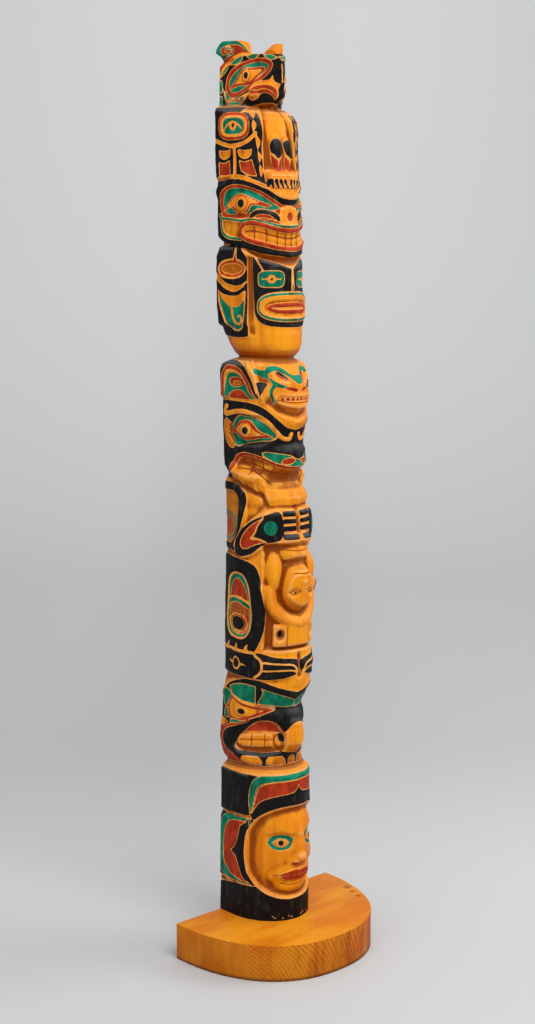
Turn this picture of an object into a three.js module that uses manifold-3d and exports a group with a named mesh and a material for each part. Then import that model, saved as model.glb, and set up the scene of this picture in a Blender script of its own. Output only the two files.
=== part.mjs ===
// A carved and painted totem pole of stacked figures, standing on a half-round wooden base.
// Millimetres, +Z up, the figures face -Y. The origin is on the ground under the middle of the base.
// The pole is one carved half log: a stack of half-round sections between a flat back and a
// front that leans back towards the top, with the figures carved into its side.
import * as THREE from 'three';
import { mergeVertices } from 'three/addons/utils/BufferGeometryUtils.js';
import Module from 'manifold-3d';

const wasm = await Module();
wasm.setup();

// Base
const BASE_WIDTH = 269;
const BASE_DEPTH = 167;
const BASE_THICKNESS = 48;
const BASE_FULLNESS = 2.3;
const BASE_EDGE = 1.5;
const BASE_STEPS = 40;

// Pole
const POLE_HEIGHT = 1118;
const POLE_WIDTH = 110;
const POLE_DEPTH = 91;
const POLE_ASIDE = -4.8;
const CONTACT_GAP = 0.3;
const BACK_Y = BASE_DEPTH / 2;
const POLE_FOOT = BASE_THICKNESS + CONTACT_GAP;

// The figures are laid out on a drawing of the unrolled side. Its girth runs from 0 on the
// front's middle line to 120 at the back corner, and its level from 48 at the foot to 1166 at
// the top of the ears. At the pole's own size both count millimetres.
const HALF_GIRTH = 120;
const FOOT_LEVEL = 48;
const TOP_LEVEL = 1166;
const DRAWN_WIDTH = 110;
const DRAWN_DEPTH = 91;
const DRAWN_BACK = 35;
const UP = POLE_HEIGHT / (TOP_LEVEL - FOOT_LEVEL);
const ACROSS = POLE_WIDTH / DRAWN_WIDTH;
const INWARD = POLE_DEPTH / DRAWN_DEPTH;

// Ears: the log's two back corners, left standing above the head
const HEAD_TOP = 1148;
const EAR_INNER = 26;
const EAR_FRONT = 3;
const EAR_ROUND = 7;
const CUT_MARGIN = 60;

// Steps of the carved surface
const FRONT_COLUMNS = 14;
const FRONT_STEP = 5;
const SIDE_COLUMNS = 6;
const ROW_STEP = 13;

// Carved edges run out over about two columns, and the middle of a roll is as wide
const EDGE_RUN = 8;
const LEAST_ROLL = 7;

const WOOD = 0xd9822b;
const VARNISH_ROUGHNESS = 0.42;

// Levels where one form ends and the next begins, which the rows of the surface keep to
const BREAKS = [
  48, 78, 93, 180, 203, 242, 257, 266, 277, 297, 313, 332, 352, 368, 374, 404, 411, 446, 478, 522,
  531, 548, 587, 594, 622, 634, 645, 659, 672, 684, 706, 722, 729, 752, 774, 784, 796, 806, 818,
  826, 859, 893, 906, 917, 928, 945, 965, 985, 998, 1008, 1048, 1080, 1086, 1091, 1100, 1128, 1143,
  1149, 1160, 1166,
];

// Sections up the log: level, half width at its widest, half width at the back edge, how far
// behind the axis it is widest, how far the front stands out, and how full the front's curve is
const SECTIONS = [
  [48, 55, 55, 10, 56, 2.0],
  [92, 54, 53, 10, 56, 2.0],
  [170, 53, 51.5, 8, 57, 2.0],
  [200, 52, 50, 5, 59, 2.0],
  [242, 52, 50, 5, 60, 2.0],
  [257, 43, 40, 5, 46, 2.0],
  [266, 51, 50, 5, 46, 1.6],
  [285, 54, 54, 5, 55, 1.45],
  [312, 51, 50, 5, 56, 1.45],
  [332, 50, 49, 5, 46, 1.6],
  [345, 50, 47, 5, 52, 1.9],
  [362, 49, 43, 3, 60, 2.0],
  [371, 46, 40, 3, 60, 2.0],
  [376, 50, 43, 0, 61, 2.0],
  [405, 50, 43, 0, 60, 2.0],
  [470, 50, 42, 0, 62, 2.0],
  [525, 49, 40.5, 0, 62, 2.0],
  [535, 47, 39, 0, 61, 2.0],
  [548, 48, 41.5, 0, 62, 2.0],
  [585, 48, 41.5, 0, 61, 2.0],
  [593, 46, 41.5, 0, 53, 2.0],
  [625, 46, 42, 0, 48, 1.8],
  [632, 45, 37, 0, 50, 1.7],
  [642, 47, 44, 2, 57, 1.6],
  [672, 48, 45.5, 2, 50, 1.6],
  [684, 49, 46, 5, 50, 1.8],
  [700, 49, 47, 8, 55, 2.0],
  [728, 49, 46, 12, 53, 2.0],
  [750, 50, 47, 15, 52, 2.0],
  [772, 50, 48, 15, 45, 2.0],
  [785, 36, 31, 10, 35, 2.0],
  [795, 42, 33, 10, 45, 2.0],
  [818, 47, 44, 12, 46, 2.0],
  [824, 53, 52, 28, 45, 2.0],
  [845, 55, 54, 30, 46, 2.0],
  [880, 55, 54.5, 32, 45, 2.0],
  [905, 54, 54, 30, 43, 2.0],
  [914, 52, 50, 26, 40, 2.0],
  [930, 55, 54, 25, 41, 2.0],
  [965, 54, 53.5, 25, 40, 2.0],
  [990, 55, 54, 30, 36, 2.0],
  [1040, 56, 55.5, 34, 31, 2.0],
  [1080, 56, 55.5, 34, 26, 2.0],
  [1086, 55, 55, 34, 20, 2.0],
  [1091, 50, 50, 34, 20, 1.5],
  [1100, 50, 50, 34, 26, 1.2],
  [1130, 50, 50, 34, 30, 1.2],
  [1143, 50, 50, 34, 27, 1.3],
  [1149, 55, 55.5, 34, 24, 1.4],
  [1160, 55, 55, 34, 22, 1.4],
  [1166, 50, 50, 30, 18, 1.5],
];

function clamp(x) {
  return Math.min(1, Math.max(0, x));
}

function smooth(from, to, x) {
  const t = clamp((x - from) / (to - from));
  return t * t * (3 - 2 * t);
}

function between(points, x, column = 1) {
  if (x <= points[0][0]) return points[0][column];
  for (let i = 1; i < points.length; i += 1) {
    if (x <= points[i][0]) {
      const share = (x - points[i - 1][0]) / (points[i][0] - points[i - 1][0]);
      return THREE.MathUtils.lerp(points[i - 1][column], points[i][column], share);
    }
  }
  return points[points.length - 1][column];
}

// Shapes on the drawing. p is a spot with its girth u, taken positive on both sides, and level v.

// How far inside an oval's rim a spot lies, in millimetres of its shorter half size
function inOval(p, [u, v], [ru, rv], fullness = 2) {
  const share = (Math.abs((p.u - u) / ru) ** fullness + Math.abs((p.v - v) / rv) ** fullness) ** (1 / fullness);
  return (1 - share) * Math.min(ru, rv);
}

// How far inside a rectangle with round corners a spot lies
function inPanel(p, [u0, v0], [u1, v1], round) {
  const du = Math.abs(p.u - (u0 + u1) / 2) - (u1 - u0) / 2 + round;
  const dv = Math.abs(p.v - (v0 + v1) / 2) - (v1 - v0) / 2 + round;
  return round - Math.hypot(Math.max(du, 0), Math.max(dv, 0)) - Math.min(Math.max(du, dv), 0);
}

// How far above a line a spot lies; the line is given from the front to the back
function above(p, line) {
  return p.v - between(line, p.u);
}

function toLine(p, line) {
  let best = Infinity;
  for (let i = 1; i < line.length; i += 1) {
    const [u0, v0] = line[i - 1];
    const du = line[i][0] - u0;
    const dv = line[i][1] - v0;
    const t = clamp(((p.u - u0) * du + (p.v - v0) * dv) / (du * du + dv * dv));
    best = Math.min(best, Math.hypot(p.u - u0 - t * du, p.v - v0 - t * dv));
  }
  return best;
}

// Carving on those shapes, in millimetres that it stands out (or goes in, when negative)

function raised(inside, height) {
  return height * smooth(-EDGE_RUN / 2, EDGE_RUN / 2, inside);
}

function crown(share, height) {
  return share < 1 ? height * (1 - share * share) : 0;
}

function mound(p, at, size, height) {
  return crown(Math.hypot((p.u - at[0]) / size[0], (p.v - at[1]) / size[1]), height);
}

function roll(p, line, radius, height) {
  return crown(toLine(p, line) / Math.max(radius, LEAST_ROLL), height);
}

function both(...insides) {
  return Math.min(...insides);
}

// The figures, from the foot up

// A human face with a raised rim, a headband over it and a winged panel beside it
function humanFigure(p) {
  const face = inOval(p, [0, 140], [73, 63], 2.3);
  const brow = both(inPanel(p, [-20, 166], [46, 188], 8), face);
  const nose = Math.max(mound(p, [0, 150], [9, 22], 4), mound(p, [0, 137], [13, 9], 7));
  return raised(face, -6) + mound(p, [0, 140], [62, 58], 10)
    + raised(brow, 2.5) + nose
    + mound(p, [25, 156], [18, 10], -4) + mound(p, [25, 156], [11, 7], 3)
    + mound(p, [0, 111], [34, 11], 4) + mound(p, [0, 93], [28, 10], 3)
    + raised(inPanel(p, [69, 185], [140, 243], 4), 2)
    + raised(inPanel(p, [68, 97], [140, 178], 9), 2);
}

// A raven's head: hooked beak turned in to the chin, open mouth with teeth, and a broad brow
function raven(p) {
  const mouth = both(inOval(p, [52, 291], [42, 23], 2.6), p.u - 16);
  const teeth = inPanel(p, [34, 275], [84, 295], 8);
  return mound(p, [0, 294], [23, 24], 6)
    + raised(mouth, -6) + raised(teeth, 3)
    + roll(p, [[84, 270], [106, 276], [110, 290], [96, 305]], 9, 2.5)
    + mound(p, [0, 323], [42, 17], 4)
    + mound(p, [82, 327], [30, 16], 3.5)
    + roll(p, [[0, 349], [30, 359], [60, 367], [95, 362], [118, 346]], 8, 2)
    + raised(both(above(p, [[0, 353], [60, 372]]), 372 - p.v, 58 - p.u), 2);
}

// Two feet laid side by side round the front
function feet(p) {
  return raised(both(above(p, [[0, 379], [60, 373], [120, 375]]), 406 - p.v), 3)
    + roll(p, [[10, 388], [50, 388]], 8, 1.5)
    + roll(p, [[0, 376], [0, 402]], 6, -4);
}

// The body: side panels round a hollow that holds a small figure hanging head down
function body(p) {
  const panel = inPanel(p, [50, 408], [150, 523], 14);
  const hollow = both(49 - p.u, p.v - 410, 546 - p.v);
  const upper = both(inPanel(p, [72, 536], [150, 621], 12), above(p, [[70, 600], [84, 536], [120, 533]]));
  return raised(panel, 2) + raised(inPanel(p, [69, 425], [110, 505], 18), -2)
    + raised(hollow, -8)
    + raised(upper, 3) + raised(inPanel(p, [86, 548], [112, 605], 8), -2)
    + raised(both(inPanel(p, [40, 560], [72, 624], 10), above(p, [[40, 596], [72, 568]])), -2.5);
}

function hangingFigure(p) {
  const head = mound(p, [0, 486], [30, 38], 16);
  const upperArm = mound(p, [34, 508], [13, 30], 11);
  const foreArm = roll(p, [[40, 486], [34, 464], [20, 449], [0, 441]], 11, 11);
  const chest = mound(p, [0, 536], [28, 26], 11);
  const block = Math.min(9, 2.2 * Math.max(0, inPanel(p, [-10, 412], [39, 446], 5)));
  return Math.max(head, upperArm, foreArm, chest, block) + mound(p, [27, 431], [7, 8], -6)
    + mound(p, [0, 492], [7, 14], 3);
}

// Two hands laid on the chest, with four fingers each
function hands(p) {
  const wrist = both(
    above(p, [[0, 552], [28, 549], [60, 536], [90, 530]]),
    between([[0, 590], [28, 590], [60, 576], [80, 562], [94, 540]], p.u) - p.v,
    93 - p.u,
  );
  return raised(wrist, 6) + mound(p, [36, 568], [19, 20], 4)
    + roll(p, [[22, 552], [22, 588]], 6, -2)
    + roll(p, [[0, 550], [0, 590]], 6, -3);
}

// A large head with a wide mouth, a rolled jaw and arched brows
function largeHead(p) {
  const lip = [[0, 643], [20, 645], [50, 656], [75, 659], [97, 645]];
  const mouth = both(between(lip, p.u) - p.v, above(p, [[0, 630], [20, 628], [45, 636], [90, 642]]), 92 - p.u);
  return raised(mouth, -6)
    + roll(p, [[92, 637], [62, 632], [42, 624], [28, 609], [18, 597]], 12, 8)
    + roll(p, lip, 7, 2)
    + mound(p, [0, 657], [48, 17], 5)
    + raised(inOval(p, [67, 689], [40, 19], 2.4), -4) + mound(p, [70, 689], [26, 17], 7)
    + roll(p, [[8, 682], [20, 684], [45, 701], [85, 712], [114, 708]], 7, 2.5)
    + mound(p, [0, 704], [36, 15], 3);
}

// A small fierce face between two upright ears
function smallFace(p) {
  const ear = both(inPanel(p, [50, 730], [150, 777], 14), above(p, [[44, 780], [56, 728], [120, 728]]));
  const gap = both(inPanel(p, [34, 728], [52, 772], 5), inOval(p, [43, 748], [11, 26]));
  return raised(ear, 4) + mound(p, [88, 746], [27, 19], -5)
    + roll(p, [[62, 776], [49, 728]], 7, 3)
    + raised(gap, -5)
    + mound(p, [0, 742], [40, 36], 9)
    + mound(p, [0, 750], [9, 20], 3.5) + mound(p, [21, 757], [12, 7], -3)
    + mound(p, [0, 724], [28, 14], 3)
    + mound(p, [42, 737], [9, 13], 5)
    + roll(p, [[0, 708], [24, 717], [38, 727]], 7, -4);
}

// A face with broad fins at its sides, over a round belly
function finFigure(p) {
  const fin = inPanel(p, [66, 806], [150, 918], 16);
  const face = both(56 - p.u, between([[0, 893], [57, 908]], p.u) - p.v, p.v - 826);
  return raised(fin, 4) + mound(p, [92, 891], [27, 14], -3)
    + mound(p, [90, 836], [24, 27], -4)
    + roll(p, [[61, 808], [61, 908]], 6, 3)
    + raised(face, 1.5)
    + raised(inOval(p, [0, 842], [50, 19], 2.6), 5) + raised(inOval(p, [0, 842], [38, 10], 2.6), -3)
    + roll(p, [[0, 842], [26, 842]], 7, 3)
    + roll(p, [[0, 866], [0, 890]], 7, 3)
    + mound(p, [30, 880], [22, 12], 2);
}

// A wolf's head with its teeth showing, over a deep undercut
function wolf(p) {
  const jaw = [[0, 908], [60, 918], [96, 925], [118, 938]];
  const undercut = both(between(jaw, p.u) - p.v, above(p, [[0, 893], [57, 908], [66, 916], [120, 918]]));
  const mouth = inPanel(p, [-20, 911], [76, 945], 15);
  return raised(undercut, -8)
    + raised(mouth, 2.5) + raised(mouth - 7, -4)
    + raised(inPanel(p, [80, 929], [111, 949], 8), -3)
    + raised(inPanel(p, [-20, 942], [15, 966], 6), 4)
    + roll(p, [[22, 951], [34, 956], [46, 956], [56, 951]], 8, 3.5)
    + raised(inOval(p, [68, 970], [44, 18], 2.4), -3) + mound(p, [71, 969], [22, 15], 6)
    + roll(p, [[0, 972], [20, 979], [50, 990], [85, 994], [118, 984]], 8, 3);
}

// The bird on top: chest, legs on a small shelf, and folded wings
function birdBody(p) {
  const wing = both(p.u - between([[990, 34], [1010, 42], [1050, 50], [1086, 56]], p.v), p.v - 1001, 1086 - p.v);
  return raised(wing, 4) + raised(inOval(p, [84, 1063], [30, 15], 2.8), 1.5)
    + raised(both(34 - p.u, p.v - 1010, 1090 - p.v), -5)
    + mound(p, [13, 1031], [13, 24], 6)
    + raised(inPanel(p, [-10, 988], [28, 1006], 4), 4)
    + mound(p, [0, 982], [28, 11], 5);
}

function birdHead(p) {
  return raised(both(58 - p.u, p.v - 1084, 1098 - p.v), -8)
    + mound(p, [66, 1122], [52, 26], 4) + mound(p, [70, 1123], [18, 13], 3)
    + roll(p, [[8, 1104], [30, 1112], [56, 1104]], 9, 4)
    + roll(p, [[0, 1100], [0, 1136]], 7, 3)
    + roll(p, [[0, 1145], [50, 1147], [80, 1143], [112, 1130]], 7, 2)
    + mound(p, [92, 1099], [26, 13], 4)
    + roll(p, [[60, 1156], [90, 1159], [112, 1156]], 10, 2)
    + roll(p, [[100, 1143], [124, 1143]], 6, -4);
}

const FIGURES = [
  humanFigure, raven, feet, body, hangingFigure, hands, largeHead, smallFace, finFigure, wolf,
  birdBody, birdHead,
];

function relief(p) {
  return FIGURES.reduce((sum, figure) => sum + figure(p), 0);
}

// One side of the log at a level, from the front's middle line round to the back corner
const ARC_STEPS = 48;
const SIDE_STEPS = 12;
const SIDE_ROUNDING = 1.6;

function sectionAt(level) {
  const [side, back, widest, front, fullness] = [1, 2, 3, 4, 5].map((c) => between(SECTIONS, level, c));
  const points = [];
  for (let i = 0; i <= ARC_STEPS; i += 1) {
    const angle = (i / ARC_STEPS) * Math.PI / 2;
    points.push(new THREE.Vector2(
      side * Math.sin(angle) ** (2 / fullness),
      widest - (front + widest) * Math.cos(angle) ** (2 / fullness),
    ));
  }
  for (let i = 1; i <= SIDE_STEPS; i += 1) {
    const t = i / SIDE_STEPS;
    const x = side - (side - back) * t ** SIDE_ROUNDING;
    points.push(new THREE.Vector2(x, widest + (DRAWN_BACK - widest) * t));
  }
  return points;
}

// The spot on that side at a share of its length, with the way out of the wood there
function spotOn(points, share) {
  const lengths = [0];
  for (let i = 1; i < points.length; i += 1) {
    lengths.push(lengths[i - 1] + points[i].distanceTo(points[i - 1]));
  }
  const total = lengths[lengths.length - 1];
  const pick = (s) => {
    const length = clamp(s) * total;
    const i = Math.max(1, lengths.findIndex((l) => l >= length - 1e-9));
    const t = (length - lengths[i - 1]) / (lengths[i] - lengths[i - 1]);
    return points[i - 1].clone().lerp(points[i], t);
  };
  const reach = 0.02;
  const along = pick(share + reach).sub(pick(share - reach)).normalize();
  return { at: pick(share), out: new THREE.Vector2(-along.y, along.x).negate() };
}

function rowLevels() {
  const levels = [BREAKS[0]];
  for (let i = 1; i < BREAKS.length; i += 1) {
    const steps = Math.ceil((BREAKS[i] - BREAKS[i - 1]) / ROW_STEP);
    for (let k = 1; k <= steps; k += 1) {
      levels.push(THREE.MathUtils.lerp(BREAKS[i - 1], BREAKS[i], k / steps));
    }
  }
  return levels;
}

function girthOf(column) {
  if (column <= FRONT_COLUMNS) return column * FRONT_STEP;
  const front = FRONT_COLUMNS * FRONT_STEP;
  return front + (column - FRONT_COLUMNS) * (HALF_GIRTH - front) / SIDE_COLUMNS;
}

// From the drawing's section to the part: x across, y from the back forward, level up
function onPole(x, y, level) {
  return new THREE.Vector3(
    POLE_ASIDE + x * ACROSS,
    BACK_Y - (DRAWN_BACK - y) * INWARD,
    POLE_FOOT + (level - FOOT_LEVEL) * UP,
  );
}

function carvedLog() {
  const levels = rowLevels();
  const half = FRONT_COLUMNS + SIDE_COLUMNS;
  const columns = 2 * half + 1;
  const rows = levels.length - 1;
  const geometry = new THREE.CylinderGeometry(1, 1, 1, columns, rows);
  const spots = geometry.attributes.position;
  const sections = levels.map(sectionAt);
  for (let i = 0; i < spots.count; i += 1) {
    const [x, up, z] = [spots.getX(i), spots.getY(i), spots.getZ(i)];
    const row = Math.round((up + 0.5) * rows);
    const level = levels[row];
    if (Math.hypot(x, z) < 0.5) {
      spots.setXYZ(i, ...onPole(0, 0, level));
    } else {
      const turn = (Math.atan2(x, z) / (2 * Math.PI) + 1) % 1;
      const column = Math.round(turn * columns) % columns;
      const sign = column <= half ? 1 : -1;
      const girth = girthOf(sign > 0 ? column : columns - column);
      const { at, out } = spotOn(sections[row], girth / HALF_GIRTH);
      const height = girth < HALF_GIRTH ? relief({ u: girth, v: level }) : 0;
      const across = girth > 0 ? sign * (at.x + out.x * height) : 0;
      spots.setXYZ(i, ...onPole(across, at.y + out.y * height, level));
    }
  }
  return splitShort(geometry);
}

// Each four-sided cell of a surface is split along its shorter diagonal, so that slanted edges
// of the carving run clean
function splitShort(geometry) {
  const index = geometry.index.array;
  const corner = (i) => new THREE.Vector3().fromBufferAttribute(geometry.attributes.position, i);
  for (let i = 0; i + 5 < index.length; i += 6) {
    const [a, b, d, b2, c, d2] = index.slice(i, i + 6);
    const cell = b === b2 && d === d2;
    if (cell && corner(a).distanceTo(corner(c)) < corner(b).distanceTo(corner(d))) {
      index.set([a, b, c, a, c, d], i);
    }
  }
  return geometry;
}

// What is cut away above the head: its whole front, and the gap between the two ears
function headCut() {
  const shape = new THREE.Shape();
  const far = DRAWN_WIDTH;
  shape.moveTo(-far, -far);
  shape.lineTo(far, -far);
  shape.lineTo(far, EAR_FRONT);
  shape.lineTo(EAR_INNER + EAR_ROUND, EAR_FRONT);
  shape.quadraticCurveTo(EAR_INNER, EAR_FRONT, EAR_INNER, EAR_FRONT + EAR_ROUND);
  shape.lineTo(EAR_INNER, DRAWN_BACK + CUT_MARGIN);
  shape.lineTo(-EAR_INNER, DRAWN_BACK + CUT_MARGIN);
  shape.lineTo(-EAR_INNER, EAR_FRONT + EAR_ROUND);
  shape.quadraticCurveTo(-EAR_INNER, EAR_FRONT, -EAR_INNER - EAR_ROUND, EAR_FRONT);
  shape.lineTo(-far, EAR_FRONT);
  shape.closePath();
  const cut = new THREE.ExtrudeGeometry(shape, { depth: CUT_MARGIN, bevelEnabled: false, curveSegments: 3 });
  const foot = onPole(0, 0, HEAD_TOP);
  cut.scale(ACROSS, INWARD, UP);
  cut.translate(foot.x, foot.y, foot.z);
  return cut;
}

function solid(geometry) {
  const bare = geometry.clone();
  bare.deleteAttribute('normal');
  bare.deleteAttribute('uv');
  const merged = mergeVertices(bare, 1e-4);
  return new wasm.Manifold(new wasm.Mesh({
    numProp: 3,
    vertProperties: new Float32Array(merged.attributes.position.array),
    triVerts: new Uint32Array(merged.index.array),
  }));
}

function toGeometry(carved) {
  const mesh = carved.getMesh();
  const geometry = new THREE.BufferGeometry();
  geometry.setAttribute('position', new THREE.BufferAttribute(mesh.vertProperties, 3));
  geometry.setIndex(new THREE.BufferAttribute(mesh.triVerts, 1));
  return geometry;
}

function poleGeometry() {
  return toGeometry(solid(carvedLog()).subtract(solid(headCut())));
}

// Half-round board: a full oval curve in front and a straight back edge, with its edges eased
function baseGeometry() {
  const shape = new THREE.Shape();
  const half = BASE_WIDTH / 2 - BASE_EDGE;
  const depth = BASE_DEPTH - 2 * BASE_EDGE;
  for (let i = 0; i <= BASE_STEPS; i += 1) {
    const angle = (i / BASE_STEPS) * Math.PI;
    const x = -Math.sign(Math.cos(angle)) * half * Math.abs(Math.cos(angle)) ** (2 / BASE_FULLNESS);
    const y = BASE_DEPTH / 2 - BASE_EDGE - depth * Math.sin(angle) ** (2 / BASE_FULLNESS);
    if (i === 0) shape.moveTo(x, y);
    else shape.lineTo(x, y);
  }
  const geometry = new THREE.ExtrudeGeometry(shape, {
    depth: BASE_THICKNESS - 2 * BASE_EDGE,
    bevelThickness: BASE_EDGE,
    bevelSize: BASE_EDGE,
    bevelSegments: 1,
  });
  geometry.translate(0, 0, BASE_EDGE);
  return geometry;
}

function wood(colour) {
  return new THREE.MeshStandardMaterial({ color: colour, roughness: VARNISH_ROUGHNESS, metalness: 0 });
}

const base = new THREE.Mesh(baseGeometry(), wood(WOOD));
base.name = 'base';

const pole = new THREE.Mesh(poleGeometry(), wood(WOOD));
pole.name = 'carved_pole';

const group = new THREE.Group();
group.add(base, pole);

export default group;
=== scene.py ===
# %% [markdown]
# A carved and painted totem pole
#
# The real object is a half log of cedar, a little over a metre tall. Figures are carved into its
# round side, painted black, green and red, and varnished. It stands on a thick half-round board.
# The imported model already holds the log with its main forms. Here the log is carved again in a
# much finer mesh, with the cut lines and the paint, and both pieces get their wood.

# %% Load the frame
import math

import bpy
import numpy as np
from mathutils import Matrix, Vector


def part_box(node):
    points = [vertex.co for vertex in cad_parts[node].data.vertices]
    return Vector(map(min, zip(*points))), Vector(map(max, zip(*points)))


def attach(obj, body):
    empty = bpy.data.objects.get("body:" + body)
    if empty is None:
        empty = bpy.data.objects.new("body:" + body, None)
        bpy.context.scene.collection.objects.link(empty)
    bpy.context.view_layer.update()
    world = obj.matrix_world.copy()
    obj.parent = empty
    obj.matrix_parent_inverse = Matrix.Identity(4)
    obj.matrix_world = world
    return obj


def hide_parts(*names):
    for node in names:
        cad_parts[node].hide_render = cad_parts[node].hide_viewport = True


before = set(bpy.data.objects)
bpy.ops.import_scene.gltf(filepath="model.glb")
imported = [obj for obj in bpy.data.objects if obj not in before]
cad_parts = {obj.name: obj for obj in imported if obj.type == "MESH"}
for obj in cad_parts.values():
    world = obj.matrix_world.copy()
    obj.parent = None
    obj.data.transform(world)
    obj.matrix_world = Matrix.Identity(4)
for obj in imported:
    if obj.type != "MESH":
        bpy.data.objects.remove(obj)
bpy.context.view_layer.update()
bpy.ops.object.select_all(action="DESELECT")
MM = 0.001
print("nodes:", sorted(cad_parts))

# %% [markdown]
# The log is a stack of half-round sections. Each has a straight back, and a side that runs from
# the back corner round to the middle of the front. Where it is widest, how far its front stands
# out and how full its curve is change from figure to figure. A short table says so, level by
# level, and everything between two levels is worked out from it.

# %% Sections up the log
FOOT_LEVEL = 48
TOP_LEVEL = 1166
# The flat back lies this far behind the log's axis, in millimetres
BACK = 35
# How fast the side runs in from its widest place to the back corner: slowly at first
BACK_TAPER = 1.6
# Level, half width, half width at the back, how far behind the axis it is widest, front, fullness
SECTIONS = np.array([
    (48, 55, 55, 10, 56, 2.0), (92, 54, 53, 10, 56, 2.0), (170, 53, 51.5, 8, 57, 2.0),
    (200, 52, 50, 5, 59, 2.0), (242, 52, 50, 5, 59, 2.0), (245, 51, 49, 5, 57, 2.0),
    (252, 43, 40, 5, 46, 2.0), (260, 49, 47, 5, 46, 1.65), (266, 51, 50, 5, 46, 1.6),
    (285, 54, 54, 5, 55, 1.45), (312, 51, 50, 5, 55, 1.45), (332, 50, 49, 5, 46, 1.6),
    (345, 50, 47, 5, 52, 1.9), (362, 49, 43, 3, 59, 2.0), (369, 46, 40, 3, 60, 2.0),
    (374, 50, 43, 0, 61, 2.0), (405, 50, 43, 0, 60, 2.0), (470, 50, 42, 0, 62, 2.0),
    (522, 49, 40.5, 0, 63, 2.0), (533, 47, 39, 0, 62, 2.0), (548, 48, 41.5, 0, 54, 1.95),
    (585, 48, 41.5, 0, 53, 1.95), (593, 46, 41.5, 0, 48, 2.0), (604, 46, 42, 0, 46, 1.9),
    (616, 45, 42, 0, 37, 1.8), (625, 45, 41, 0, 37, 1.7), (631, 45, 37, 0, 43, 1.7),
    (642, 47, 44, 2, 55, 1.6), (672, 48, 45.5, 2, 50, 1.6), (684, 49, 46, 5, 50, 1.8),
    (700, 49, 47, 8, 53, 2.0), (728, 49, 46, 12, 51, 2.0),
    (750, 50, 47, 15, 50, 2.0), (764, 50, 47.5, 15, 43, 2.0), (771.5, 48, 44, 15, 39, 2.0),
    (775, 42, 34, 13, 36, 2.0), (779.5, 31, 17, 10, 34, 2.0), (783, 35, 23.5, 10, 39, 2.0),
    (790, 40, 29, 10, 44, 2.0), (797, 43, 34.5, 10, 45, 2.0), (808, 45, 40, 12, 45, 2.0),
    (818, 47, 44, 12, 43, 2.0), (822, 53, 51.5, 26, 42, 2.0), (845, 55, 54, 30, 42, 1.9),
    (880, 55, 54.5, 32, 41, 1.9), (905, 54, 54, 30, 40, 1.9), (914, 52, 50, 26, 37, 2.0),
    (926, 54.5, 53.5, 25, 38, 1.9), (965, 54, 53.5, 25, 37, 1.9), (990, 55, 54, 30, 33, 1.9),
    (1040, 56, 55.5, 34, 28, 1.9), (1062, 56, 55.5, 34, 27, 1.9), (1073, 56, 55.5, 34, 25, 1.85),
    (1081, 55.5, 55.5, 34, 20, 1.6), (1086, 54, 54, 34, 15, 1.2), (1090, 50, 50, 34, 15, 1.05),
    (1099, 50, 50, 34, 25, 1.0), (1130, 50, 50, 34, 29, 1.0), (1143, 50, 50, 34, 27, 1.0),
    (1148, 54, 54.5, 34, 24, 1.1), (1160, 55, 55, 34, 22, 1.15), (1166, 53, 53, 32, 20, 1.2),
])


def section(level):
    """One side of the log at a level: a line of spots from the middle of the front to the back."""
    side, back, widest, front, fullness = (
        np.interp(level, SECTIONS[:, 0], SECTIONS[:, k]) for k in range(1, 6))
    angle = np.linspace(0, math.pi / 2, 97)
    x = side * np.sin(angle) ** (2 / fullness)
    y = widest - (front + widest) * np.cos(angle) ** (2 / fullness)
    t = np.linspace(0, 1, 25)[1:]
    back_x = side - (side - back) * t ** BACK_TAPER
    return np.append(x, back_x), np.append(y, widest + (BACK - widest) * t)


print("log of", TOP_LEVEL - FOOT_LEVEL, "mm, worked out from", len(SECTIONS), "sections")

# %% [markdown]
# A carver draws the figures on paper, wraps the paper round the log and cuts along the lines.
# This script does the same. On the drawing, the girth runs from 0 on the middle of the front to
# 120 at the back corner, on both sides, and the level runs up from 48 at the foot to 1166 at the
# tips of the ears. Both count millimetres. The drawing has one spot for each vertex of the fine
# mesh: so many columns round the log, and a row every two millimetres.

# %% The drawing's spots
HALF_GIRTH = 120
SIDE_COLUMNS = 150
BACK_COLUMNS = 10
ROWS = 600
CAP_ROWS = 8

sides = np.linspace(-HALF_GIRTH, HALF_GIRTH, SIDE_COLUMNS + 1)
levels = np.linspace(FOOT_LEVEL, TOP_LEVEL, ROWS + 1)
girth, level = np.meshgrid(sides, levels)


def ripple(seed, across, up, waves=7):
    """A smooth, random unevenness between about -1 and 1, of a given size across and up."""
    chance = np.random.default_rng(seed)
    total = np.zeros_like(girth)
    for _ in range(waves):
        turn, phase = chance.uniform(0, 2 * math.pi, 2)
        reach = chance.uniform(0.6, 1.6)
        run = girth / across * math.cos(turn) + level / up * math.sin(turn)
        total += np.sin(reach * run + phase)
    return total / math.sqrt(waves)


# The carver's hand wanders by a few tenths of a millimetre, and never the same on both sides
HAND_WANDER = 0.35
WANDER_SIZE = 9
U = np.abs(girth) + HAND_WANDER * ripple(1, WANDER_SIZE, WANDER_SIZE)
V = level + HAND_WANDER * ripple(2, WANDER_SIZE, WANDER_SIZE)
print("drawing of", girth.shape[1], "by", girth.shape[0], "spots")

# %% [markdown]
# Every line on the drawing is a smooth curve through a few points. For a shape, each spot needs
# to know how far inside the outline it lies: plus inside, minus outside. With that one number the
# same shape can be painted, given a rim, or carved with a slope of any width. A shape that
# crosses the middle of the front is drawn for one side and mirrored.

# %% Drawing tools
# Distances are measured up to this many millimetres from a line, and no farther
FAR = 12


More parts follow.
